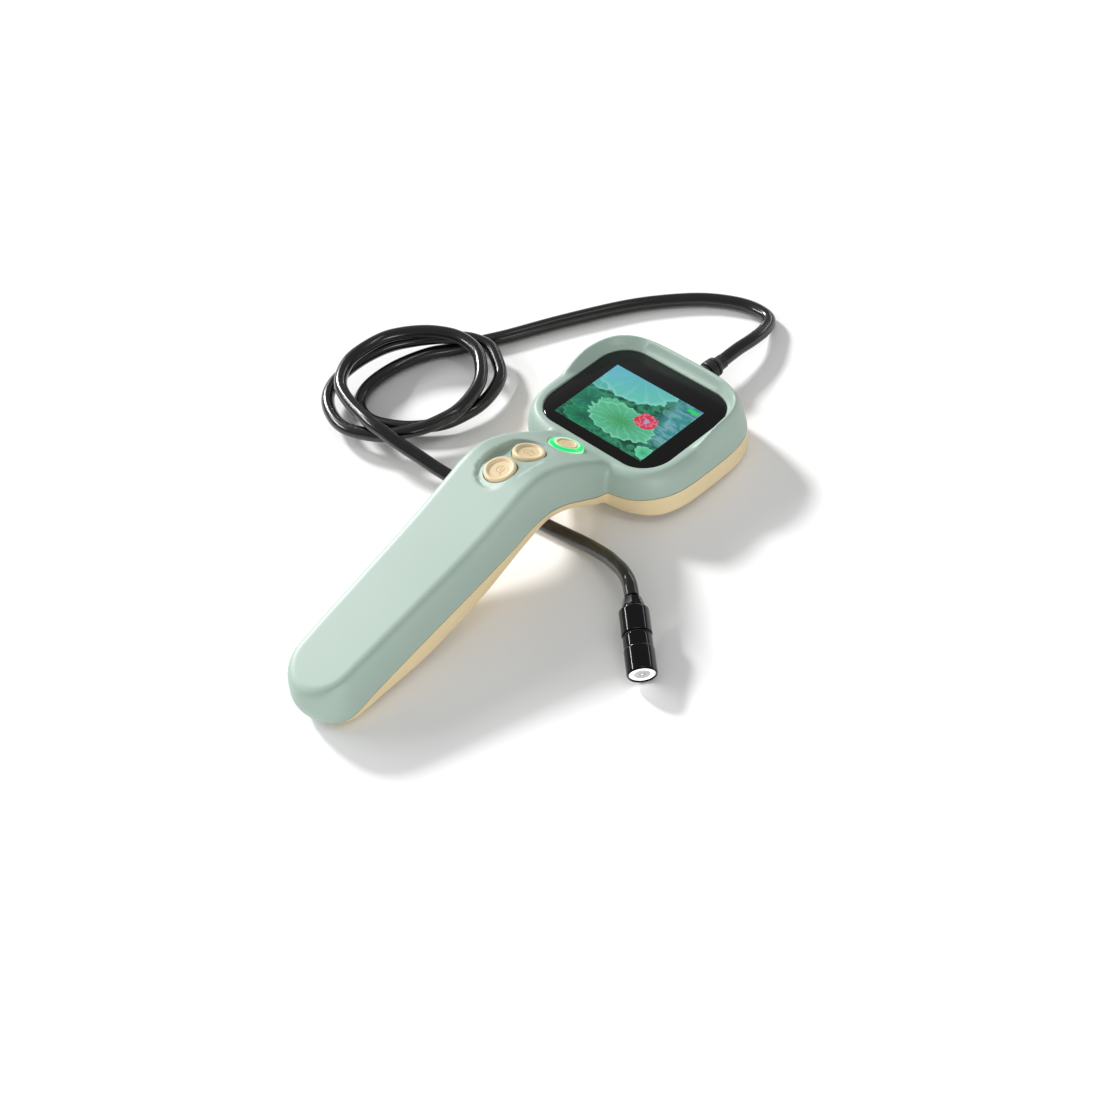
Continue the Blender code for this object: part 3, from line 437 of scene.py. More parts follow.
# The collar: an octagonal crimp that tapers back to the cable
collar_rings = []
for radius, height in ((2.75, 0.0), (2.95, 0.12), (3.75, 3.15), (3.9, 3.3), (3.9, 3.5), (3.8, 3.6)):
    octagon = np.linspace(0, 2 * math.pi, 8, endpoint=False)
    collar_rings.append(np.column_stack([radius * np.cos(octagon), radius * np.sin(octagon),
                                         np.full(8, height)]))
probe_collar = probe_part("crimp_collar", skin(collar_rings), "probe_collar",
                          black_nickel, 20.0)

sleeve_shape = lathe(((3.6, 3.9), (4.0, 3.9), (4.85, 4.75, 0.3), (4.9, 5.2, 0.2), (4.9, 13.3, 0.15),
                      (4.75, 13.4), (4.0, 13.4), (4.0, 4.9), (3.6, 4.6)), ringed=True)
probe_sleeve = probe_part("rear_sleeve", sleeve_shape, "probe_body", black_nickel)

seal_shape = lathe(((4.1, 13.6), (4.5, 13.6, 0.12), (4.5, 14.0, 0.12), (4.1, 14.0)), ringed=True)
probe_seal = probe_part("seal_ring", seal_shape, "probe_seal", seal_rubber)

nose_shape = lathe(((3.1, 9.8), (3.7, 9.8), (3.7, 14.3), (4.6, 14.3), (4.7, 14.45, 0.1), (4.7, 18.7, 0.1),
                    (4.9, 19.0, 0.1), (4.9, FRONT - 0.5, 0.2), (4.65, FRONT, 0.12), (4.3, FRONT, 0.1),
                    (4.2, FRONT - 0.2), (4.2, FRONT - 1.6), (3.1, FRONT - 1.6)), ringed=True)
probe_nose = probe_part("nose_sleeve", nose_shape, "probe_nose", black_nickel)


WINDOW_EDGE = 4.2


def window_painted_glow():
    """Clear acrylic window, lit from behind, with that light painted on it: a glowing white ring round the
    dark eye of the lens, and a faint glow over the rest.
    """
    material, tree, shader = new_material("acrylic_window_painted_glow", Base_Color=linear("#8E9296"), Roughness=0.08,
                                          Coat_Weight=1.0, Coat_Roughness=0.03)
    flat = scaled_by(tree, probe_space(tree), (1.0, 1.0, 0.0))
    reach = add_node(tree, "ShaderNodeVectorMath", {"operation": "LENGTH"}, {0: flat}).outputs["Value"]
    tone = spread(tree, reach, 0.0, WINDOW_EDGE * MM, 0.0, 1.0)
    ramp = add_node(tree, "ShaderNodeValToRGB", None, {"Fac": tone})
    # colours out from the middle: a white spot, the dark eye of the lens, greys, the painted white ring of
    # light from the lamps behind, and a paler edge
    stops = ((0.0, "#FFFFFF"), (0.09, "#E8EAEA"), (0.14, "#6A6D6E"), (0.24, "#9A9D9D"), (0.60, "#ABAEAE"),
             (0.70, "#FFFFFF"), (0.95, "#FFFFFF"), (1.0, "#D9DCDC"))
    while len(ramp.color_ramp.elements) < len(stops):
        ramp.color_ramp.elements.new(0.5)
    for element, (at, tint) in zip(ramp.color_ramp.elements, stops):
        element.position = at
        element.color = linear(tint)
    tree.links.new(ramp.outputs["Color"], shader.inputs["Base Color"])
    tree.links.new(ramp.outputs["Color"], shader.inputs["Emission Color"])
    # painted glow: faint over the whole window in these colours, strong over the white ring
    tree.links.new(spread(tree, tone, 0.60, 0.72, 0.25, 1.3), shader.inputs["Emission Strength"])
    return material


window_shape = lathe(((0.02, FRONT - 1.3), (4.1, FRONT - 1.3, 0.1), (4.1, FRONT - 0.45, 0.15),
                      (0.02, FRONT - 0.4)))
probe_window = probe_part("front_window", window_shape, "probe_window", window_painted_glow())

# Behind the window: a white board that carries a ring of small square lights, and the lens barrel
LIGHT_COUNT = 6
LIGHT_CIRCLE = 2.45
LIGHT_SIZE = (0.62, 0.62, 0.3)
led_white = new_material("phosphor_yellow_cap", Base_Color=linear("#FFF6D8"), Roughness=0.35,
                         Emission_Color=linear("#FFFFFF"), Emission_Strength=2.0)[0]
lamps_tree, given, made = new_geometry_tree("lights round the lens", {
    "Count": ("NodeSocketInt", 6), "Circle": ("NodeSocketFloat", 1.0),
    "Size": ("NodeSocketVector", None), "Finish": ("NodeSocketMaterial", None)})
lamps_circle = add_node(lamps_tree, "GeometryNodeMeshCircle", None, {
    "Vertices": given["Count"], "Radius": given["Circle"]})
lamps_cube = add_node(lamps_tree, "GeometryNodeMeshCube", None, {"Size": given["Size"]})
finish_tree(lamps_tree, given, made, copies(lamps_tree, lamps_circle.outputs["Mesh"],
                                            lamps_cube.outputs["Mesh"]))
lamp_carrier = new_object("lamp_ring", bpy.data.meshes.new("lamp_ring"))
lamp_mesh = grow(lamp_carrier, lamps_tree, led_white, Count=LIGHT_COUNT, Circle=LIGHT_CIRCLE,
                 Size=LIGHT_SIZE)
lamp_mesh.transform(PROBE @ Matrix.Translation((0, 0, FRONT - 1.55)))
lamp_ring = add_piece("light_diodes", lamp_mesh)


# ================================================================ cable gland
# Strain relief moulded in black rubber round the cable: a flange inside the wall, a sleeve with fine
# ribs, two stout hoops with a groove between them, and a thin lip over the cable.

REST_TILT = -3.882
REST_SHIFT = (0.0, 52.963, 18.412)
OUTLET = (0.0, 32.4, -8.0)
REST = (Matrix.Translation(Vector(REST_SHIFT) * MM) @ Matrix.Rotation(math.radians(REST_TILT), 4, "X")
        @ Matrix.Diagonal((MM, MM, MM, 1.0)))
GLAND = REST @ Matrix.Translation(OUTLET) @ Matrix.Rotation(math.radians(-90), 4, "X")
RIB_COUNT = 3
RIB_PITCH = 1.5
RIB_BASE = 1.7                          # height of the first rib above the wall

gland_rubber = gloss_black("moulded_black_rubber", "#19191A", 0.42, 0.0, 1.2, 0.01)
ribs_tree, given, made = new_geometry_tree("ribs along a sleeve", {
    "Count": ("NodeSocketInt", 3), "Pitch": ("NodeSocketFloat", 1.0), "Sleeve": ("NodeSocketFloat", 2.0),
    "Rib": ("NodeSocketFloat", 0.5), "Finish": ("NodeSocketMaterial", None)})
ribs_step = add_node(ribs_tree, "ShaderNodeCombineXYZ", None, {"Z": given["Pitch"]})
ribs_line = add_node(ribs_tree, "GeometryNodeMeshLine", {"mode": "OFFSET"}, {
    "Count": given["Count"], "Offset": ribs_step.outputs["Vector"]})
ribs_hoop = add_node(ribs_tree, "GeometryNodeCurvePrimitiveCircle", {"mode": "RADIUS"}, {
    "Resolution": 64, "Radius": given["Sleeve"]})
ribs_bead = add_node(ribs_tree, "GeometryNodeCurvePrimitiveCircle", {"mode": "RADIUS"}, {
    "Resolution": 16, "Radius": given["Rib"]})
ribs_torus = add_node(ribs_tree, "GeometryNodeCurveToMesh", None, {
    "Curve": ribs_hoop.outputs["Curve"], "Profile Curve": ribs_bead.outputs["Curve"]})
ribs_all = add_node(ribs_tree, "GeometryNodeJoinGeometry", None, {
    "Geometry": copies(ribs_tree, ribs_line.outputs["Mesh"], ribs_torus.outputs["Mesh"])})
ribs_tree.links.new(given["Geometry"], ribs_all.inputs["Geometry"])
finish_tree(ribs_tree, given, made, ribs_all.outputs["Geometry"])

gland_core = lathe((
    (0.02, -7.2), (3.9, -7.2, 0.2), (3.9, -5.7, 0.2), (3.0, -5.7), (3.0, 0.6), (2.9, 1.0, 0.1), (2.9, 5.6),
    (3.45, 5.7, 0.15), (3.7, 6.1, 0.2), (3.7, 8.3, 0.25), (3.1, 8.55), (3.1, 8.8), (3.6, 9.0, 0.2),
    (3.55, 10.0, 0.35), (2.9, 10.5, 0.2), (2.65, 11.3, 0.3), (2.6, 13.6, 0.1), (2.44, 13.6),
    (2.44, 12.8), (0.02, 12.8)), sides=64)
gland_carrier = new_object("gland_core", mesh_from(
    "gland_core", *placed(gland_core, Matrix.Translation((0, 0, -RIB_BASE)))))
gland_mesh = grow(gland_carrier, ribs_tree, gland_rubber, Count=RIB_COUNT, Pitch=RIB_PITCH, Sleeve=2.95,
                  Rib=0.42)
gland_mesh.transform(GLAND @ Matrix.Translation((0, 0, RIB_BASE)))
add_piece("ribbed_gland", gland_mesh, ["cable_gland"], crease=40.0)


# ================================================================ housing shells
# Two injection-moulded ABS shells, sage green over cream, that meet at a fine seam and are screwed
# together from the back. The front one carries the visor round the screen and the hollow for two keys.

HEAD_HALF = (35.0, 29.6)
HEAD_CENTRE_Y = 2.8
HEAD_BACK = -16.5
HEAD_SEAM = -8.0
VISOR_HEIGHT = 4.0
VISOR_START_Y = -1.0
VISOR_RAMP = 15.0
WALL = 2.0
TOP_WALL = 2.4
GAP = 0.3
SPINE = np.array((                      # y, half width, top, seam and underside of neck and grip
    (-12.0, 15.6, -3.6, -8.0, -14.0),
    (-20.0, 14.9, -0.7, -8.0, -15.8),
    (-28.0, 14.4, 4.5, -9.2, -15.6),
    (-36.0, 14.5, 9.5, -5.9, -10.8),
    (-44.0, 15.0, 13.7, -1.6, -6.4),
    (-52.0, 15.4, 15.9, 0.8, -4.5),
    (-60.0, 15.6, 15.1, 0.2, -6.2),
    (-68.0, 15.6, 12.2, -2.4, -9.2),
    (-84.0, 15.2, 6.8, -7.0, -16.0),
    (-108.0, 14.4, 0.1, -13.6, -23.4),
    (-128.0, 13.7, -5.3, -19.4, -26.3),
    (-138.0, 13.2, -8.1, -23.2, -27.8),
    (-146.0, 12.8, -10.4, -27.2, -26.6),
    (-152.0, 12.6, -12.1, -31.0, -23.5),
))[::-1]
GRIP_END_Y = -150.0
GRIP_END_RADIUS = 13.5
GRAIN = 0.5                             # size of the skin's facets before it is smoothed
HEAD_STATIONS = 200

POWER_KEY = (-28.8, 5.2, 27.0)          # y, height and lean of each key's axis
PHOTO_KEY = (-44.4, 13.6, 17.0)
MODE_KEY = (-57.3, 15.3, -6.0)
KEY_RADIUS = 5.5
RING_OUTER = 6.0
HOLLOW_HALF = 8.0
HOLLOW_DEPTH = 0.55                     # at the middle of the hollow
HOLLOW_LEAN = 0.09                      # rise of its floor towards the right
BOSS_RADIUS = 2.8
PILOT_RADIUS = 1.2
POST_RADIUS = 3.3
SCREW_PLACES = ((23.2, 22.4), (-23.2, 22.4), (26.5, -12.0), (-26.5, -12.0), (0.0, -68.0), (0.0, -136.0))

GLASS_HALF = (27.75, 22.35)
GLASS_CORNER = 11.0
GLASS_CENTRE_Y = 2.75
GLASS_THICKNESS = 1.1
PICTURE = (40.8, 30.6)
CORNER_STEPS = 16


def spine(column, y):
    """Half width, top, seam or underside at y: a cubic through the SPINE rows."""
    rows, y = SPINE, np.clip(np.asarray(y, float), SPINE[0, 0], SPINE[-1, 0])
    ys, values = rows[:, 0], rows[:, column]
    slot = np.clip(np.searchsorted(ys, y, side="right") - 1, 0, len(ys) - 2)
    low, high = np.maximum(np.arange(len(ys)) - 1, 0), np.minimum(np.arange(len(ys)) + 1, len(ys) - 1)
    slope = (values[high] - values[low]) / (ys[high] - ys[low])
    span = ys[slot + 1] - ys[slot]
    t = (y - ys[slot]) / span
    return ((2 * t**3 - 3 * t**2 + 1) * values[slot] + (t**3 - 2 * t**2 + t) * span * slope[slot]
            + (3 * t**2 - 2 * t**3) * values[slot + 1] + (t**3 - t**2) * span * slope[slot + 1])


def head_ring(inset, height, power, visor=0.0, stations=HEAD_STATIONS):
    """One level of the head: a superellipse, lifted by the visor round its far half."""
    half_x, half_y = HEAD_HALF[0] - inset, HEAD_HALF[1] - inset
    turn = np.linspace(0, 2 * math.pi, stations, endpoint=False) + math.pi / stations
    c, s = np.cos(turn), np.sin(turn)
    reach = (np.abs(c / half_x)**power + np.abs(s / half_y)**power)**(-1 / power)
    x, y = reach * c, HEAD_CENTRE_Y + reach * s
    rise = np.clip((y - VISOR_START_Y) / VISOR_RAMP, 0, 1)
    rise = rise * (2 - rise)
    return np.column_stack([x, y, height + VISOR_HEIGHT * visor * rise])


def head_shape():
    levels = ((6.8, 0.5, 4.8, 0.0), (5.9, 0.7, 4.5, 0.06), (5.0, 0.75, 4.2, 0.42), (4.1, 0.7, 4.0, 0.86),
              (3.2, 0.2, 3.8, 1.0), (1.9, -1.1, 3.6, 0.72), (0.7, -3.3, 3.4, 0.3), (0.0, -6.6, 3.4, 0.0),
              (0.0, -10.0, 3.4, 0.0), (0.0, -13.8, 3.4, 0.0), (0.4, -15.6, 3.5, 0.0), (1.4, -16.35, 3.6, 0.0),
              (3.2, HEAD_BACK, 3.6, 0.0))
    return skin([head_ring(*level) for level in smooth_through(levels, 6)])


def head_hollow():
    levels = ((6.4, -3.4, 4.2), (3.4, -4.8, 3.7), (WALL, -7.4, 3.4), (WALL + 0.4, -12.2, 3.4),
              (4.6, HEAD_BACK + WALL, 3.6))
    return skin([head_ring(*level, stations=96) for level in levels])


def grip_outline(inset, spacing, arc_steps):
    """Plan outline of neck and grip from root to tip and back, moved inwards."""
    bend_y = GRIP_END_Y + GRIP_END_RADIUS
    root_y = SPINE[-1, 0]
    ys = np.linspace(root_y, bend_y, int(round((root_y - bend_y) / spacing)), endpoint=False)
    turn = np.radians(90 * np.arange(arc_steps) / arc_steps)
    x = np.concatenate([spine(1, ys), spine(1, bend_y) * np.cos(turn), [0.0]])
    y = np.concatenate([ys, bend_y - GRIP_END_RADIUS * np.sin(turn), [GRIP_END_Y]])
    run_x, run_y = np.gradient(x), np.gradient(y)
    size = np.hypot(run_x, run_y)
    shift_x, shift_y = inset * run_y / size, inset * -run_x / size
    shift_y[0] = 0.0
    x = np.maximum(x + shift_x, 0.4)[:-1]
    y = (y + shift_y)[:-1]
    right = np.column_stack([x, y])
    return np.vstack([right, [(0.0, GRIP_END_Y + inset)], right[::-1] * (-1, 1)])


def mirror_caps(count, base):
    """Faces that close a ring which is symmetric about x = 0 and starts at its root."""
    faces = []
    for step in range(count // 2):
        far = count - 1 - step
        if far - 1 > step + 1:
            faces.append((base + step, base + step + 1, base + far - 1, base + far))
        elif far - 1 == step + 1:
            faces.append((base + step, base + step + 1, base + far))
    return faces


def capped(rings):
    points, faces = skin(rings, caps=False)
    count = len(rings[0])
    return points, faces + mirror_caps(count, 0) + mirror_caps(count, (len(rings) - 1) * count)


def grip_loft(low_levels, high_levels, low_lift, high_drop, spacing, arc_steps):
    """A level is (inset, distance), measured from the underside if low and from the top if high."""
    rings = []
    for inset, distance in low_levels:
        plan = grip_outline(inset, spacing, arc_steps)
        rings.append(np.column_stack([plan, spine(4, plan[:, 1]) + low_lift + distance]))
    for inset, distance in high_levels:
        plan = grip_outline(inset, spacing, arc_steps)
        rings.append(np.column_stack([plan, spine(2, plan[:, 1]) - high_drop - distance]))
    return capped(rings)


def grip_shape():
    low = smooth_through(((5.6, 0.0), (3.3, 0.4), (1.5, 1.4), (0.5, 3.0), (0.0, 5.8)), 5)
    high = smooth_through(((0.15, 5.5), (0.5, 2.5), (1.35, 0.75), (2.9, 0.0)), 5)
    return grip_loft(low, high, 0.0, 0.0, 1.5, 30)


def grip_hollow():
    return grip_loft(((7.5, 0.0), (3.4, 1.6), (WALL, 4.6)), ((WALL + 0.4, 3.6), (4.6, 0.0)),
                     WALL, TOP_WALL, 4.0, 12)


def key_hollow():
    """The shallow oval round the photo and mode keys: deep on the left and run out on the right."""
    near, far = MODE_KEY[0], PHOTO_KEY[0]
    outline = []
    for centre, start in ((far, 90), (near, 180), (near, 270), (far, 0)):
        for step in range(CORNER_STEPS):
            turn = math.radians(start + 90 * (step + 0.5) / CORNER_STEPS)
            outline.append((HOLLOW_HALF * math.cos(turn), centre + HOLLOW_HALF * math.sin(turn)))
    plan = np.array(outline)
    top = spine(2, plan[:, 1])
    floor_level = top - HOLLOW_DEPTH + HOLLOW_LEAN * plan[:, 0]
    return capped([np.column_stack([plan, floor_level]), np.column_stack([plan, top + 8.0])])


def seam_block(side, clearance):
    """Everything on one side of the seam: side is -1 below it and +1 above it."""
    ys = np.arange(-18.0, -154.0, -1.5)
    line = [(60.0, HEAD_SEAM), (-14.0, HEAD_SEAM)] + list(zip(ys, spine(3, ys)))
    line.append((-170.0, float(spine(3, -152.0)) - 8.0))
    outline = [(y, z + clearance) for y, z in line] + [(-170.0, side * 70.0), (60.0, side * 70.0)]
    return skin([[(x, y, z) for y, z in outline] for x in (-45.0, 45.0)])


def rounded_plan(half, centre_y, radius, steps=CORNER_STEPS):
    plan = []
    for sx, sy, start in ((1, 1, 0), (-1, 1, 90), (-1, -1, 180), (1, -1, 270)):
        for step in range(steps + 1):
            turn = math.radians(start + 90 * step / steps)
            plan.append((sx * (half[0] - radius) + radius * math.cos(turn),
                         centre_y + sy * (half[1] - radius) + radius * math.sin(turn)))
    return np.array(plan)


def slab(half, centre, radius, levels, steps=CORNER_STEPS):
    """Rounded plate about centre (x, y); a level is (outward step, height)."""
    rings = []
    for grow_by, z in levels:
        plan = rounded_plan((half[0] + grow_by, half[1] + grow_by), centre[1],
                            max(radius + grow_by, 0.05), steps)
        rings.append(np.column_stack([plan[:, 0] + centre[0], plan[:, 1], np.full(len(plan), z)]))
    return skin(rings)


def key_place(key):
    y, z, lean = key
    return Matrix.Translation((0, y, z)) @ Matrix.Rotation(math.radians(-lean), 4, "X")


def key_bore(key, radius):
    """Round hole for a key, with its edge broken by a small flare."""
    return placed(lathe(((0.02, -6.0), (radius, -6.0), (radius, -0.6), (radius + 0.35, 0.05),
                         (radius + 0.9, 3.6), (0.02, 3.6)), sides=72), key_place(key))


def screw_levels(y):
    """Heights at one screw: boss root in the front shell, seam, and the seat of the screw's head."""
    if y > SPINE[-1, 0] - 4:
        return -3.4, HEAD_SEAM, HEAD_BACK + 3.6
    return float(spine(2, y)) - TOP_WALL, float(spine(3, y)), float(spine(4, y)) + 3.4


def post(x, y, low, high, radius, sides=32):
    return placed(lathe(((0.02, low), (radius, low), (radius, high), (0.02, high)), sides),
                  Matrix.Translation((x, y, 0)))


def carve(mesh, steps):
    """Runs exact unions and differences with closed shapes on a mesh."""
    base = new_object("carve", mesh)
    tools = []
    for operation, shape in steps:
        tool = new_object("tool", mesh_from("tool", *shape))
        tools.append(tool)
        step = base.modifiers.new(operation, "BOOLEAN")
        step.operation = operation
        step.object = tool
        step.solver = "MANIFOLD"
    result = baked(base)
    for tool in tools:
        bpy.data.objects.remove(tool)
    return result


def remeshed(mesh, size):
    base = new_object("remesh", mesh)
    step = base.modifiers.new("voxels", "REMESH")
    step.mode = "VOXEL"
    step.voxel_size = size
    return baked(base)


def relax(mesh, passes, share):
    """Moves each vertex towards the middle of its neighbours.

    Share is a row of shares, one for each pass in turn, or a function that gives one for each vertex."""
    count = len(mesh.vertices)
    places = np.empty(count * 3)
    mesh.vertices.foreach_get("co", places)
    places = places.reshape(-1, 3)
    ends = np.empty(len(mesh.edges) * 2, int)
    mesh.edges.foreach_get("vertices", ends)
    a, b = ends.reshape(-1, 2).T
    both, other = np.concatenate([a, b]), np.concatenate([b, a])
    degree = np.bincount(both, minlength=count)
    for step in range(passes):
        middle = np.column_stack([np.bincount(both, places[other, k], count) for k in range(3)])
        middle = middle / degree[:, None]
        force = share(places) if callable(share) else share[step % len(share)]
        places = places + (middle - places) * force
    mesh.vertices.foreach_set("co", places.ravel())
    mesh.update()


def fillet_share(places):
    """Strong at the valleys where the neck runs into the head, nothing elsewhere."""
    x, y, z = places.T
    near_root = np.exp(-((y + 23.5) / 3.5)**2) * np.clip((np.abs(x) - 8.0) / 5.0, 0, 1)
    return (0.62 * near_root)[:, None]


def over(tree, share, under, top):
    """Colour top laid over colour under by share."""
    return add_node(tree, "ShaderNodeMix", {"data_type": "RGBA"}, {0: share, 6: under, 7: top}).outputs[2]


def moulded_abs(name, base, shadow, grain_mm):
    """Moulded ABS: satin, with a fine spark-eroded grain and a slow drift of tone across it."""
    material, tree, shader = new_material(name, Base_Color=linear(base), Roughness=0.46, IOR=1.53)
    place = object_place(tree)
    tone = spread(tree, noise(tree, place, 38.0), 0.3, 0.7, 0.0, 1.0)
    tree.links.new(over(tree, tone, linear(base), linear(shadow)), shader.inputs["Base Color"])
    fine = noise(tree, place, grain_mm, 3.0)
    tree.links.new(spread(tree, fine, 0.3, 0.7, 0.42, 0.52), shader.inputs["Roughness"])
    add_relief(tree, shader, fine, 0.5, 0.012)
    return material


# the real grain is about 0.08 mm, too fine to show, so it is drawn at 0.4 mm
sage_abs = moulded_abs("sage_green_abs", "#9DB1A7", "#9AAEA3", 0.4)
cream_abs = moulded_abs("cream_abs", "#E2CFA6", "#DDC99E", 0.4)

body_skin = mesh_from("body_skin", *joined([head_shape(), grip_shape()]))
body_skin = remeshed(body_skin, GRAIN)
relax(body_skin, 10, fillet_share)
body_skin = carve(body_skin, [("DIFFERENCE", key_hollow())])
body_skin = remeshed(body_skin, GRAIN)
relax(body_skin, 10, (0.5, -0.46))

bosses, pilots, posts, holes = [], [], [], []
for screw_x, screw_y in SCREW_PLACES:
    root, seam, seat = screw_levels(screw_y)
    room = 1.2 if screw_y < SPINE[-1, 0] else 0.0
    bosses.append(post(screw_x, screw_y, seam + room, root + 1.0, BOSS_RADIUS))
    pilots.append(post(screw_x, screw_y, seam - 3.0, root - 0.6, PILOT_RADIUS))
    posts.append(post(screw_x, screw_y, seat - 2.4, seam - GAP - room, POST_RADIUS))
    holes.append(placed(lathe(((0.02, seat - 12.0), (2.6, seat - 12.0), (2.6, seat), (1.4, seat),
                               (1.4, seam + 3.0), (0.02, seam + 3.0)), 32),
                        Matrix.Translation((screw_x, screw_y, 0))))
outlet_bore = placed(post(0, 0, -9.0, 9.0, 3.3, 48), Matrix.Translation((0.0, OUTLET[1] - 1.0, OUTLET[2]))
                     @ Matrix.Rotation(math.radians(-90), 4, "X"))
hollows = [("DIFFERENCE", head_hollow()), ("DIFFERENCE", grip_hollow())]

glass_pocket = slab(GLASS_HALF, (0, GLASS_CENTRE_Y), GLASS_CORNER,
                    ((0.3, -1.4), (0.3, 0.25), (0.75, 0.75), (5.0, 8.0)))
picture_window = slab((23.6, 17.75), (0, -0.8), 1.0, ((0.0, -12.0), (0.0, 6.0)), steps=4)
front_mesh = carve(body_skin.copy(), hollows + [
    ("DIFFERENCE", seam_block(-1, 0.0)), ("UNION", joined(bosses)), ("DIFFERENCE", joined(pilots)),
    ("DIFFERENCE", outlet_bore), ("DIFFERENCE", glass_pocket), ("DIFFERENCE", picture_window),
    ("DIFFERENCE", key_bore(MODE_KEY, KEY_RADIUS + GAP)),
    ("DIFFERENCE", key_bore(PHOTO_KEY, KEY_RADIUS + GAP)),
    ("DIFFERENCE", key_bore(POWER_KEY, RING_OUTER + GAP))])
front_mesh.transform(REST)
add_piece("sage_front_shell", front_mesh, ["front_shell"], material=sage_abs, crease=32.0)

PORT_LEVEL = -10.1                      # underside of the board, where both sockets hang
through_left = Matrix.Rotation(math.radians(-90), 4, "Y") @ Matrix.Rotation(math.radians(90), 4, "Z")
plug_way = placed(slab((5.2, 1.9), (0, 0), 1.85, ((0.5, -3.0), (0.0, -2.4), (0.0, 5.0))),
                  Matrix.Translation((-31.5, 9.0, PORT_LEVEL - 1.75)) @ through_left)
card_way = placed(slab((5.5, 1.0), (0, 0), 0.4, ((0.0, -4.0), (0.0, 5.0))),
                  Matrix.Translation((-31.0, -1.9, PORT_LEVEL - 0.95)) @ through_left)
rear_mesh = carve(body_skin, hollows + [
    ("DIFFERENCE", seam_block(1, -GAP)), ("UNION", joined(posts)), ("DIFFERENCE", joined(holes)),
    ("DIFFERENCE", outlet_bore), ("DIFFERENCE", plug_way), ("DIFFERENCE", card_way)])
rear_mesh.transform(REST)
add_piece("cream_rear_shell", rear_mesh, ["rear_shell"], material=cream_abs, crease=32.0)


# ================================================================ screen
# A black-backed glass plate, flush in its pocket and ground round the edge, over a small lit display.
# The picture is a garden seen through the probe: broad leaves, one pink flower and a battery mark.

PICTURE_GLOW = 0.92


def calc(tree, operation, a, b=0.0):
    return add_node(tree, "ShaderNodeMath", {"operation": operation}, {0: a, 1: b}).outputs[0]


def minus(tree, a, b):
    return calc(tree, "SUBTRACT", a, b)


def times(tree, a, b):
    return calc(tree, "MULTIPLY", a, b)


def within(tree, value, middle, half):
    """1 where value is less than half away from middle."""
    return calc(tree, "LESS_THAN", calc(tree, "ABSOLUTE", minus(tree, value, middle)), half)


def ripple(tree, turn, count):
    """Rises from 0 to 0.5 and falls back, count times round one turn."""
    return calc(tree, "PINGPONG", times(tree, calc(tree, "ADD", turn, 1.0), count), 0.5)


def step_up(tree, value, low, high):
    """0 below low and 1 above high, with a smooth rise between them."""
    return add_node(tree, "ShaderNodeMapRange", {"interpolation_type": "SMOOTHSTEP"}, {
        "Value": value, "From Min": low, "From Max": high}).outputs["Result"]


def leaf(tree, u, v, middle, half, lobes, depth):
    """Share covered by a lobed leaf, the distance out as a share of its edge, and the angle in turns."""
    du = calc(tree, "DIVIDE", minus(tree, u, middle[0]), half[0])
    dv = calc(tree, "DIVIDE", minus(tree, v, middle[1]), half[1])
    reach = calc(tree, "SQRT", calc(tree, "ADD", times(tree, du, du), times(tree, dv, dv)))
    turn = calc(tree, "DIVIDE", calc(tree, "ARCTAN2", dv, du), 2 * math.pi)
    edge = minus(tree, 1.0, times(tree, ripple(tree, turn, lobes), 2 * depth))
    out = calc(tree, "DIVIDE", reach, edge)
    return step_up(tree, minus(tree, 1.0, out), -0.01, 0.02), out, turn


def leaf_colour(tree, out, turn, rays, heart, blade, rim):
    """Darker heart, pale blade with thin rays, and a light rim."""
    vein = times(tree, step_up(tree, minus(tree, 0.5, ripple(tree, turn, rays)), 0.30, 0.5), 0.38)
    body = over(tree, step_up(tree, out, 0.0, 0.75), linear(heart), linear(blade))
    return over(tree, vein, over(tree, step_up(tree, out, 0.85, 1.0), body, linear(rim)), linear(rim))


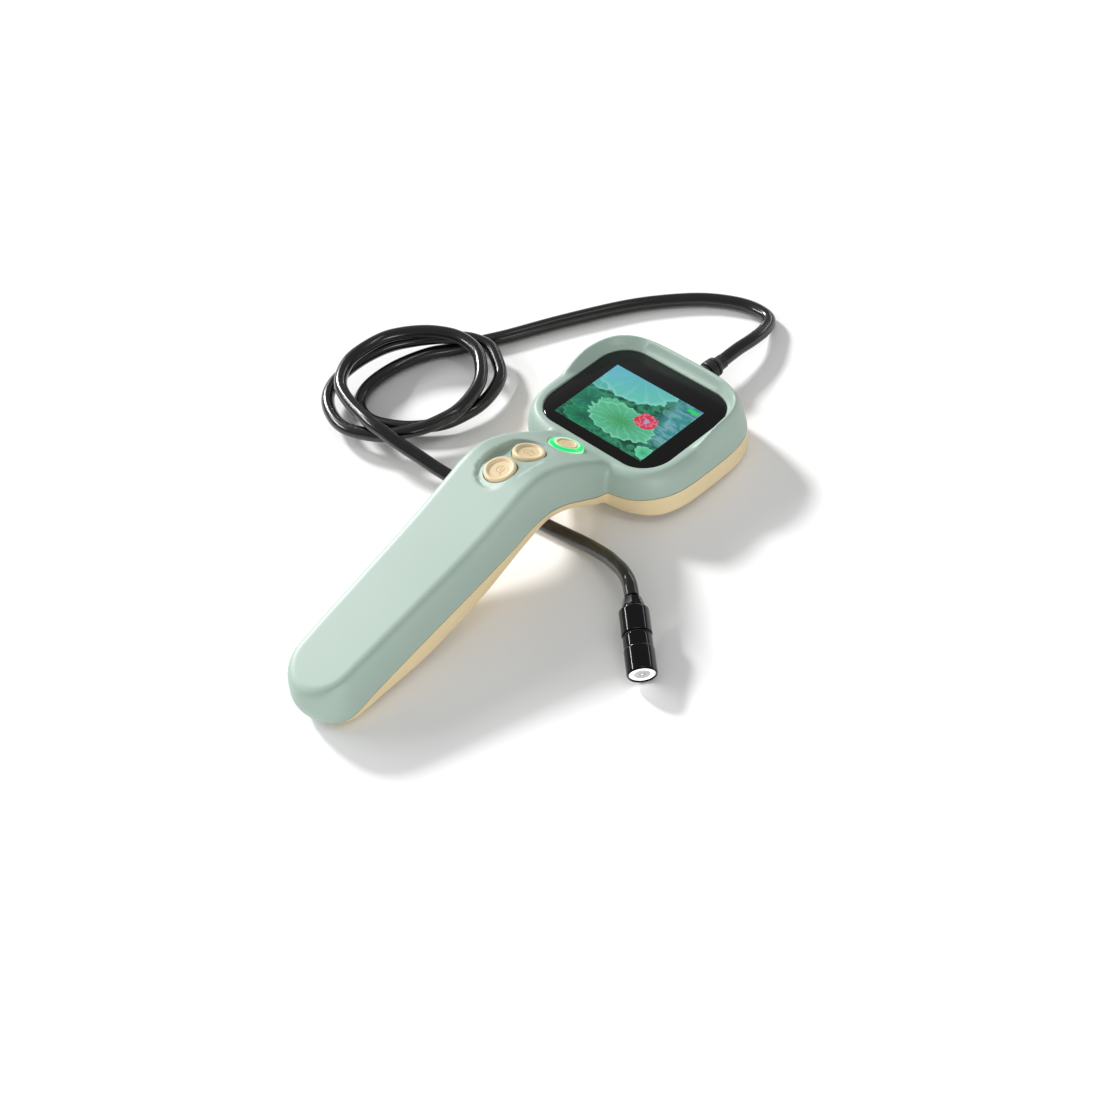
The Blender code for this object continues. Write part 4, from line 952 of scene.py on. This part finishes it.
def garden_picture(tree):
    """The lit picture in UV, 0 to 1 each way, and the share of the glass that it covers."""
    flat = add_node(tree, "ShaderNodeTexCoord").outputs["UV"]
    across = add_node(tree, "ShaderNodeSeparateXYZ", None, {0: flat})
    u, v = across.outputs["X"], across.outputs["Y"]
    inside = times(tree, within(tree, u, 0.5, 0.5), within(tree, v, 0.5, 0.5))
    ruffle = add_node(tree, "ShaderNodeTexNoise", None, {"Vector": flat, "Scale": 11.0, "Detail": 4.0})
    ruffled = add_node(tree, "ShaderNodeVectorMath", {"operation": "MULTIPLY_ADD"}, {
        0: ruffle.outputs["Color"], 1: (0.10, 0.10, 0.0), 2: flat})
    bent = add_node(tree, "ShaderNodeSeparateXYZ", None, {0: ruffled.outputs["Vector"]})
    bu, bv = minus(tree, bent.outputs["X"], 0.05), minus(tree, bent.outputs["Y"], 0.05)

    # foliage out of focus: dark greens at the left and below, a hazy blue-green at the right, thin stems
    clumps = add_node(tree, "ShaderNodeTexNoise", None, {
        "Vector": flat, "Scale": 9.0, "Detail": 5.0, "Distortion": 1.2}).outputs["Fac"]
    under = over(tree, step_up(tree, clumps, 0.38, 0.62), linear("#12423A"), linear("#2F8B66"))
    haze = over(tree, step_up(tree, clumps, 0.40, 0.66), linear("#3C8F92"), linear("#74AEB8"))
    far_right = times(tree, step_up(tree, bu, 0.66, 0.86), step_up(tree, bv, 0.16, 0.42))
    under = over(tree, far_right, under, haze)
    slant = add_node(tree, "ShaderNodeMapping", None, {
        "Vector": flat, "Rotation": (0, 0, math.radians(38)), "Scale": (3.0, 44.0, 1.0)})
    stems = add_node(tree, "ShaderNodeTexNoise", None, {
        "Vector": slant.outputs["Vector"], "Scale": 1.0, "Detail": 2.0}).outputs["Fac"]
    under = over(tree, times(tree, step_up(tree, stems, 0.58, 0.66), 0.5), under, linear("#7FB59A"))
    gaps = step_up(tree, minus(tree, 1.0, stems), 0.58, 0.68)
    under = over(tree, times(tree, gaps, 0.6), under, linear("#173B3C"))

    # leaves from the back to the front: middle, half size, lobes, lobe depth, rays, heart, blade and rim
    leaves = (
        ((0.04, 0.83), (0.22, 0.27), 13, 0.10, 9, "#3F9C86", "#52B39A", "#74CDB4"),
        ((0.30, 1.06), (0.45, 0.46), 23, 0.07, 13, "#55BDA0", "#66C2B4", "#83D6C8"),
        ((0.12, 0.38), (0.24, 0.18), 11, 0.12, 9, "#17624F", "#227C60", "#339A76"),
        ((0.36, 0.47), (0.17, 0.10), 13, 0.14, 9, "#3F9E7C", "#58B98F", "#7CD2A8"),
        ((0.25, 0.13), (0.24, 0.13), 13, 0.12, 9, "#145446", "#1F7A58", "#2F966A"),
        ((0.53, 0.33), (0.37, 0.24), 19, 0.11, 15, "#3E9A5B", "#58B68D", "#80D6AE"),
        ((0.955, 0.115), (0.095, 0.095), 9, 0.18, 9, "#2F9E6C", "#5CC79A", "#8FE3BE"),
    )
    picture = under
    for middle, half, lobes, depth, rays, heart, blade, rim in leaves:
        share, out, turn = leaf(tree, bu, bv, middle, half, lobes, depth)
        picture = over(tree, share, picture, leaf_colour(tree, out, turn, rays, heart, blade, rim))
    sky = step_up(tree, minus(tree, v, times(tree, u, 0.55)), 0.42, 1.0)
    picture = over(tree, times(tree, sky, 0.85), picture, linear("#62B4CF"))

    # pink flower, speckled, with a pale eye
    share, out, turn = leaf(tree, bu, bv, (0.70, 0.50), (0.118, 0.112), 13, 0.08)
    speckle = add_node(tree, "ShaderNodeTexVoronoi", None, {
        "Vector": flat, "Scale": 46.0}).outputs["Distance"]
    petals = over(tree, step_up(tree, speckle, 0.25, 0.6), linear("#F07C92"), linear("#CF3A52"))
    petals = over(tree, minus(tree, 1.0, step_up(tree, out, 0.12, 0.34)), petals, linear("#A9A3D6"))
    picture = over(tree, share, picture, petals)

    # battery mark in the far corner
    mark = times(tree, within(tree, u, 0.922, 0.052), within(tree, v, 0.935, 0.022))
    return over(tree, mark, picture, linear("#18DC62")), inside


def display_glass():
    """Toughened glass with black printing on its back, except over the picture."""
    material, tree, shader = new_material("black_backed_glass", Base_Color=linear("#090909"),
                                          Roughness=0.09, Specular_IOR_Level=0.30)
    picture, inside = garden_picture(tree)
    tree.links.new(picture, shader.inputs["Emission Color"])
    tree.links.new(times(tree, inside, PICTURE_GLOW), shader.inputs["Emission Strength"])
    return material


glass_levels = ((-0.1, -GLASS_THICKNESS), (0.0, -GLASS_THICKNESS + 0.1), (0.0, -0.22), (-0.07, -0.07),
                (-0.22, 0.0))
glass_mesh = mesh_from("glass", *slab(GLASS_HALF, (0, GLASS_CENTRE_Y), GLASS_CORNER, glass_levels, steps=24))
glass_map = glass_mesh.uv_layers.new(name="picture")
for corner in glass_mesh.loops:
    spot = glass_mesh.vertices[corner.vertex_index].co
    glass_map.data[corner.index].uv = (spot.x / PICTURE[0] + 0.5, spot.y / PICTURE[1] + 0.5)
glass_mesh.transform(REST)
add_piece("glass_plate", glass_mesh, ["screen_glass"], material=display_glass())


# ================================================================ keys
# Three moulded keys in the rear shell's cream ABS. Each has a rounded rim round a dish and a fine
# engraved mark: a power sign, a small camera and a magnifier.

MARK_LINE = 0.2
MARK_DEPTH = 0.14
KEY_SIDES = 72


def rounds(levels, sides=KEY_SIDES):
    """Rings for a key; a level is half width, half length and height."""
    turn = np.linspace(0, 2 * math.pi, sides, endpoint=False)
    return [np.column_stack([wide * np.cos(turn), long * np.sin(turn), np.full(sides, z)])
            for wide, long, z in levels]


def groove(centre, radius, start, stop, low, high, steps=40):
    """Cutter for an engraved arc; start and stop are in degrees."""
    half = MARK_LINE / 2
    rings = []
    for turn in np.radians(np.linspace(start, stop, steps, endpoint=stop - start < 360)):
        rings.append([(centre[0] + reach * math.cos(turn), centre[1] + reach * math.sin(turn), z)
                      for reach, z in ((radius - half, low), (radius + half, low), (radius + half, high),
                                       (radius - half, high))])
    return skin(rings, closed=stop - start >= 360)


def bar(start, stop, low, high):
    """Cutter for a straight engraved line."""
    run = np.array(stop, float) - start
    side = np.array((-run[1], run[0])) / np.linalg.norm(run) * MARK_LINE / 2
    corners = [start - side, stop - side, stop + side, start + side]
    return skin([[(x, y, z) for x, y in corners] for z in (low, high)])


def frame_line(half, radius, low, high):
    """Cutter for an engraved rounded rectangle."""
    rings = []
    edge = MARK_LINE / 2
    for grow_by, z in ((edge, low), (edge, high), (-edge, high), (-edge, low)):
        plan = rounded_plan((half[0] + grow_by, half[1] + grow_by), 0.0, radius + grow_by, 6)
        rings.append([(x, y, z) for x, y in plan])
    return skin(rings, closed=True)


key_cream = moulded_abs("key_cream_abs", "#DAC69F", "#D6C19A", 0.4)
rim = smooth_through(((5.5, 5.5, -0.8), (5.42, 5.42, -0.3), (5.05, 5.05, 0.1), (4.55, 4.55, 0.2),
                      (4.1, 4.1, 0.02), (3.75, 3.75, -0.32), (3.3, 3.3, -0.52), (0.5, 0.5, -0.6)), 5)
wide_key = [(1.8, 1.8, -4.6), (1.8, 1.8, -4.0), (6.9, 5.5, -4.0), (6.9, 5.5, -3.2),
            (5.5, 5.5, -3.2)] + list(rim)
small_rim = smooth_through(((3.85, 3.85, 0.25), (3.75, 3.75, 0.68), (3.4, 3.4, 0.82), (3.05, 3.05, 0.66),
                            (2.7, 2.7, 0.5), (0.5, 0.5, 0.45)), 5)
small_key = [(1.5, 1.5, -5.4), (1.5, 1.5, -4.9), (4.7, 4.7, -4.9), (4.7, 4.7, -4.3), (3.75, 3.75, -4.3),
             (3.85, 3.85, -0.6)] + list(small_rim)
wide_cut = (-0.62 - MARK_DEPTH, 0.6)    # floor and roof of the cutters on each kind of key
small_cut = (0.46 - MARK_DEPTH, 1.4)
power_mark = [groove((0, 0), 1.35, 125, 415, *small_cut), bar((0.0, 0.5), (0.0, 1.75), *small_cut)]
photo_mark = [frame_line((1.75, 1.2), 0.4, *wide_cut), groove((0, 0), 0.65, 0, 360, *wide_cut),
              bar((-0.6, 1.65), (0.6, 1.65), *wide_cut)]
mode_mark = [groove((0, 0.2), 1.3, 0, 360, *wide_cut), bar((1.02, -0.82), (1.95, -1.75), *wide_cut),
             bar((0.0, 0.1), (0.0, 0.95), *wide_cut), bar((0.2, 0.0), (0.85, 0.0), *wide_cut)]
for key_name, levels, marks, key_axis, cad_name, key_body in (
        ("power_key_cap", small_key, power_mark, POWER_KEY, "power_button", "power_key"),
        ("photo_key_cap", wide_key, photo_mark, PHOTO_KEY, "photo_button", "photo_key"),
        ("mode_key_cap", wide_key, mode_mark, MODE_KEY, "mode_button", "mode_key")):
    key_mesh = carve(mesh_from(key_name, *skin(rounds(levels))), [("DIFFERENCE", mark) for mark in marks])
    key_mesh.transform(REST @ key_place(key_axis))
    add_piece(key_name, key_mesh, [cad_name], key_body, key_cream, 30.0)


# ================================================================ light ring
# Clear green acrylic round the power key, lit from inside: a low cone, brightest along its two edges.

RING_RISE = 0.85                        # how far the inner edge stands above the shell


def ring_glow():
    """Green light guide; the light gathers and turns almost white where the surface bends away."""
    material, tree, shader = new_material("green_acrylic_light_guide", Base_Color=linear("#04301C"),
                                          Roughness=0.3, Emission_Strength=0.95)
    bright = add_node(tree, "ShaderNodeAttribute", {"attribute_name": "edge_light"}).outputs["Fac"]
    tint = over(tree, bright, linear("#08F07E"), linear("#C8FFD2"))
    tree.links.new(tint, shader.inputs["Emission Color"])
    return material


ring_profile = ((6.0, -0.35), (5.97, 0.05, 0.1), (5.75, 0.17), (4.6, 0.78), (4.4, RING_RISE, 0.1),
                (4.12, RING_RISE - 0.1, 0.1), (4.05, -4.0), (6.6, -4.0), (6.6, -3.3), (6.0, -3.3))
ring_mesh = mesh_from("ring", *lathe(ring_profile, ringed=True))
edge_light = ring_mesh.attributes.new("edge_light", "FLOAT", "POINT")
for spot in ring_mesh.vertices:
    reach = math.hypot(spot.co.x, spot.co.y)
    on_edge = spot.co.z > -0.4 and (reach > 5.8 or reach < 4.5)
    edge_light.data[spot.index].value = 0.85 if on_edge else 0.0
ring_mesh.transform(REST @ key_place(POWER_KEY))
add_piece("light_guide_ring", ring_mesh, ["light_ring"], material=ring_glow())


# ================================================================ case screws
# Six zinc-plated pan-head screws with cross recesses, sunk in the back; they draw the shells together.

SCREW_LENGTH = 8.5
zinc_steel, zinc_tree, zinc_shader = new_material("zinc_plated_steel", Base_Color=linear("#A9A9A6"),
                                                  Metallic=1.0, Roughness=0.32)
zinc_cloud = noise(zinc_tree, object_place(zinc_tree), 0.8)
zinc_tree.links.new(spread(zinc_tree, zinc_cloud, 0.0, 1.0, 0.22, 0.42), zinc_shader.inputs["Roughness"])

screws_tree, given, made = new_geometry_tree("screws at their places", {
    "Screw": ("NodeSocketObject", None), "Finish": ("NodeSocketMaterial", None)})
screws_one = add_node(screws_tree, "GeometryNodeObjectInfo", None, {"Object": given["Screw"]})
finish_tree(screws_tree, given, made, copies(screws_tree, given["Geometry"], screws_one.outputs["Geometry"]))

screw_shape = lathe(((0.02, -1.8), (1.7, -1.8, 0.2), (2.2, -1.3, 0.3), (2.2, -GAP), (0.9, -GAP),
                     (0.9, SCREW_LENGTH - 0.8), (0.3, SCREW_LENGTH), (0.02, SCREW_LENGTH)), sides=32)
cross = [("DIFFERENCE", slab(half, (0, 0), 0.05, ((0.0, -3.0), (-0.1, -0.9)), steps=2))
         for half in ((1.25, 0.28), (0.28, 1.25))]
one_screw = new_object("one_screw", carve(mesh_from("one_screw", *screw_shape), cross))
seats = new_object("screw_seats", mesh_from(
    "screw_seats", [(x, y, screw_levels(y)[2]) for x, y in SCREW_PLACES], []))
screw_mesh = grow(seats, screws_tree, zinc_steel, Screw=one_screw)
bpy.data.objects.remove(one_screw)
screw_mesh.transform(REST)
add_piece("case_screws", screw_mesh, [f"case_screw_{n}" for n in range(1, 7)], crease=30.0)


# ================================================================ parts inside the housing
# Board, chips, sockets, battery, leads, key switches and the camera at the probe's tip. They are bought
# parts with plain shapes, so each keeps its CAD shape and takes a real finish.


def plain_finish(name, base, other, spot_mm, rough, metallic=0.0, relief_mm=0.0):
    """Solid finish whose tone and roughness drift between two values over spots of the given size."""
    material, tree, shader = new_material(name, Base_Color=linear(base), Metallic=metallic, Roughness=rough)
    spots = noise(tree, object_place(tree), spot_mm, 3.0)
    share = step_up(tree, spots, 0.4, 0.6)
    tree.links.new(over(tree, share, linear(base), linear(other)), shader.inputs["Base Color"])
    tree.links.new(spread(tree, spots, 0.0, 1.0, rough - 0.08, rough + 0.08), shader.inputs["Roughness"])
    if relief_mm:
        add_relief(tree, shader, spots, 1.0, relief_mm)
    return material


FINISHES = {                            # two tones, spot size, roughness, metal share and relief
    "display_backlight_film": (("#2A4A4C", "#27474A", 6.0, 0.25), ("display_panel",)),
    "pressed_zinc_steel": (("#B4B6B8", "#A3A5A8", 1.5, 0.35, 1.0), ("display_bracket",)),
    "polyimide_film": (("#C07A1E", "#A9650F", 2.0, 0.35), ("display_ribbon", "key_flex")),
    "green_solder_mask": (("#0C5A32", "#0A4A2A", 1.2, 0.32, 0.0, 0.02), ("main_board",)),
    "moulded_epoxy": (("#1A1A1B", "#222223", 0.3, 0.6, 0.0, 0.01),
                      ("processor_chip", "memory_chip", "memory_card")),
    "stainless_shield": (("#C9CACB", "#B9BABD", 0.8, 0.28, 1.0), ("card_socket", "usb_port")),
    "natural_nylon": (("#E9E4D6", "#DED8C6", 0.8, 0.5), ("battery_socket", "camera_socket")),
    "aluminium_laminate_foil": (("#BFC1C4", "#AEB1B5", 4.0, 0.3, 0.9, 0.05), ("battery_cell",)),
    "closed_cell_foam": (("#3A3A3C", "#2E2E30", 0.5, 0.9, 0.0, 0.06), ("battery_pad",)),
    "red_silicone_lead": (("#8E1F1A", "#7C1713", 1.5, 0.5), ("battery_lead",)),
    "black_pvc_lead": (("#121213", "#1B1B1C", 1.5, 0.5), ("inner_lead",)),
    "nickel_switch_dome": (("#BDBDB8", "#A5A5A0", 0.6, 0.3, 1.0),
                           ("power_switch", "photo_switch", "mode_switch")),
    "white_solder_mask": (("#EFEFEA", "#E2E2DC", 0.6, 0.4), ("led_board",)),
    "anodised_lens_barrel": (("#0F0F10", "#1A1A1B", 0.4, 0.4, 0.6), ("camera_module",)),
}
for finish_name, (looks, names) in FINISHES.items():
    finish = plain_finish(finish_name, *looks)
    for cad_name in names:
        if not nodes[cad_name].material_slots:
            nodes[cad_name].data.materials.append(finish)
        for slot in nodes[cad_name].material_slots:
            slot.material = finish
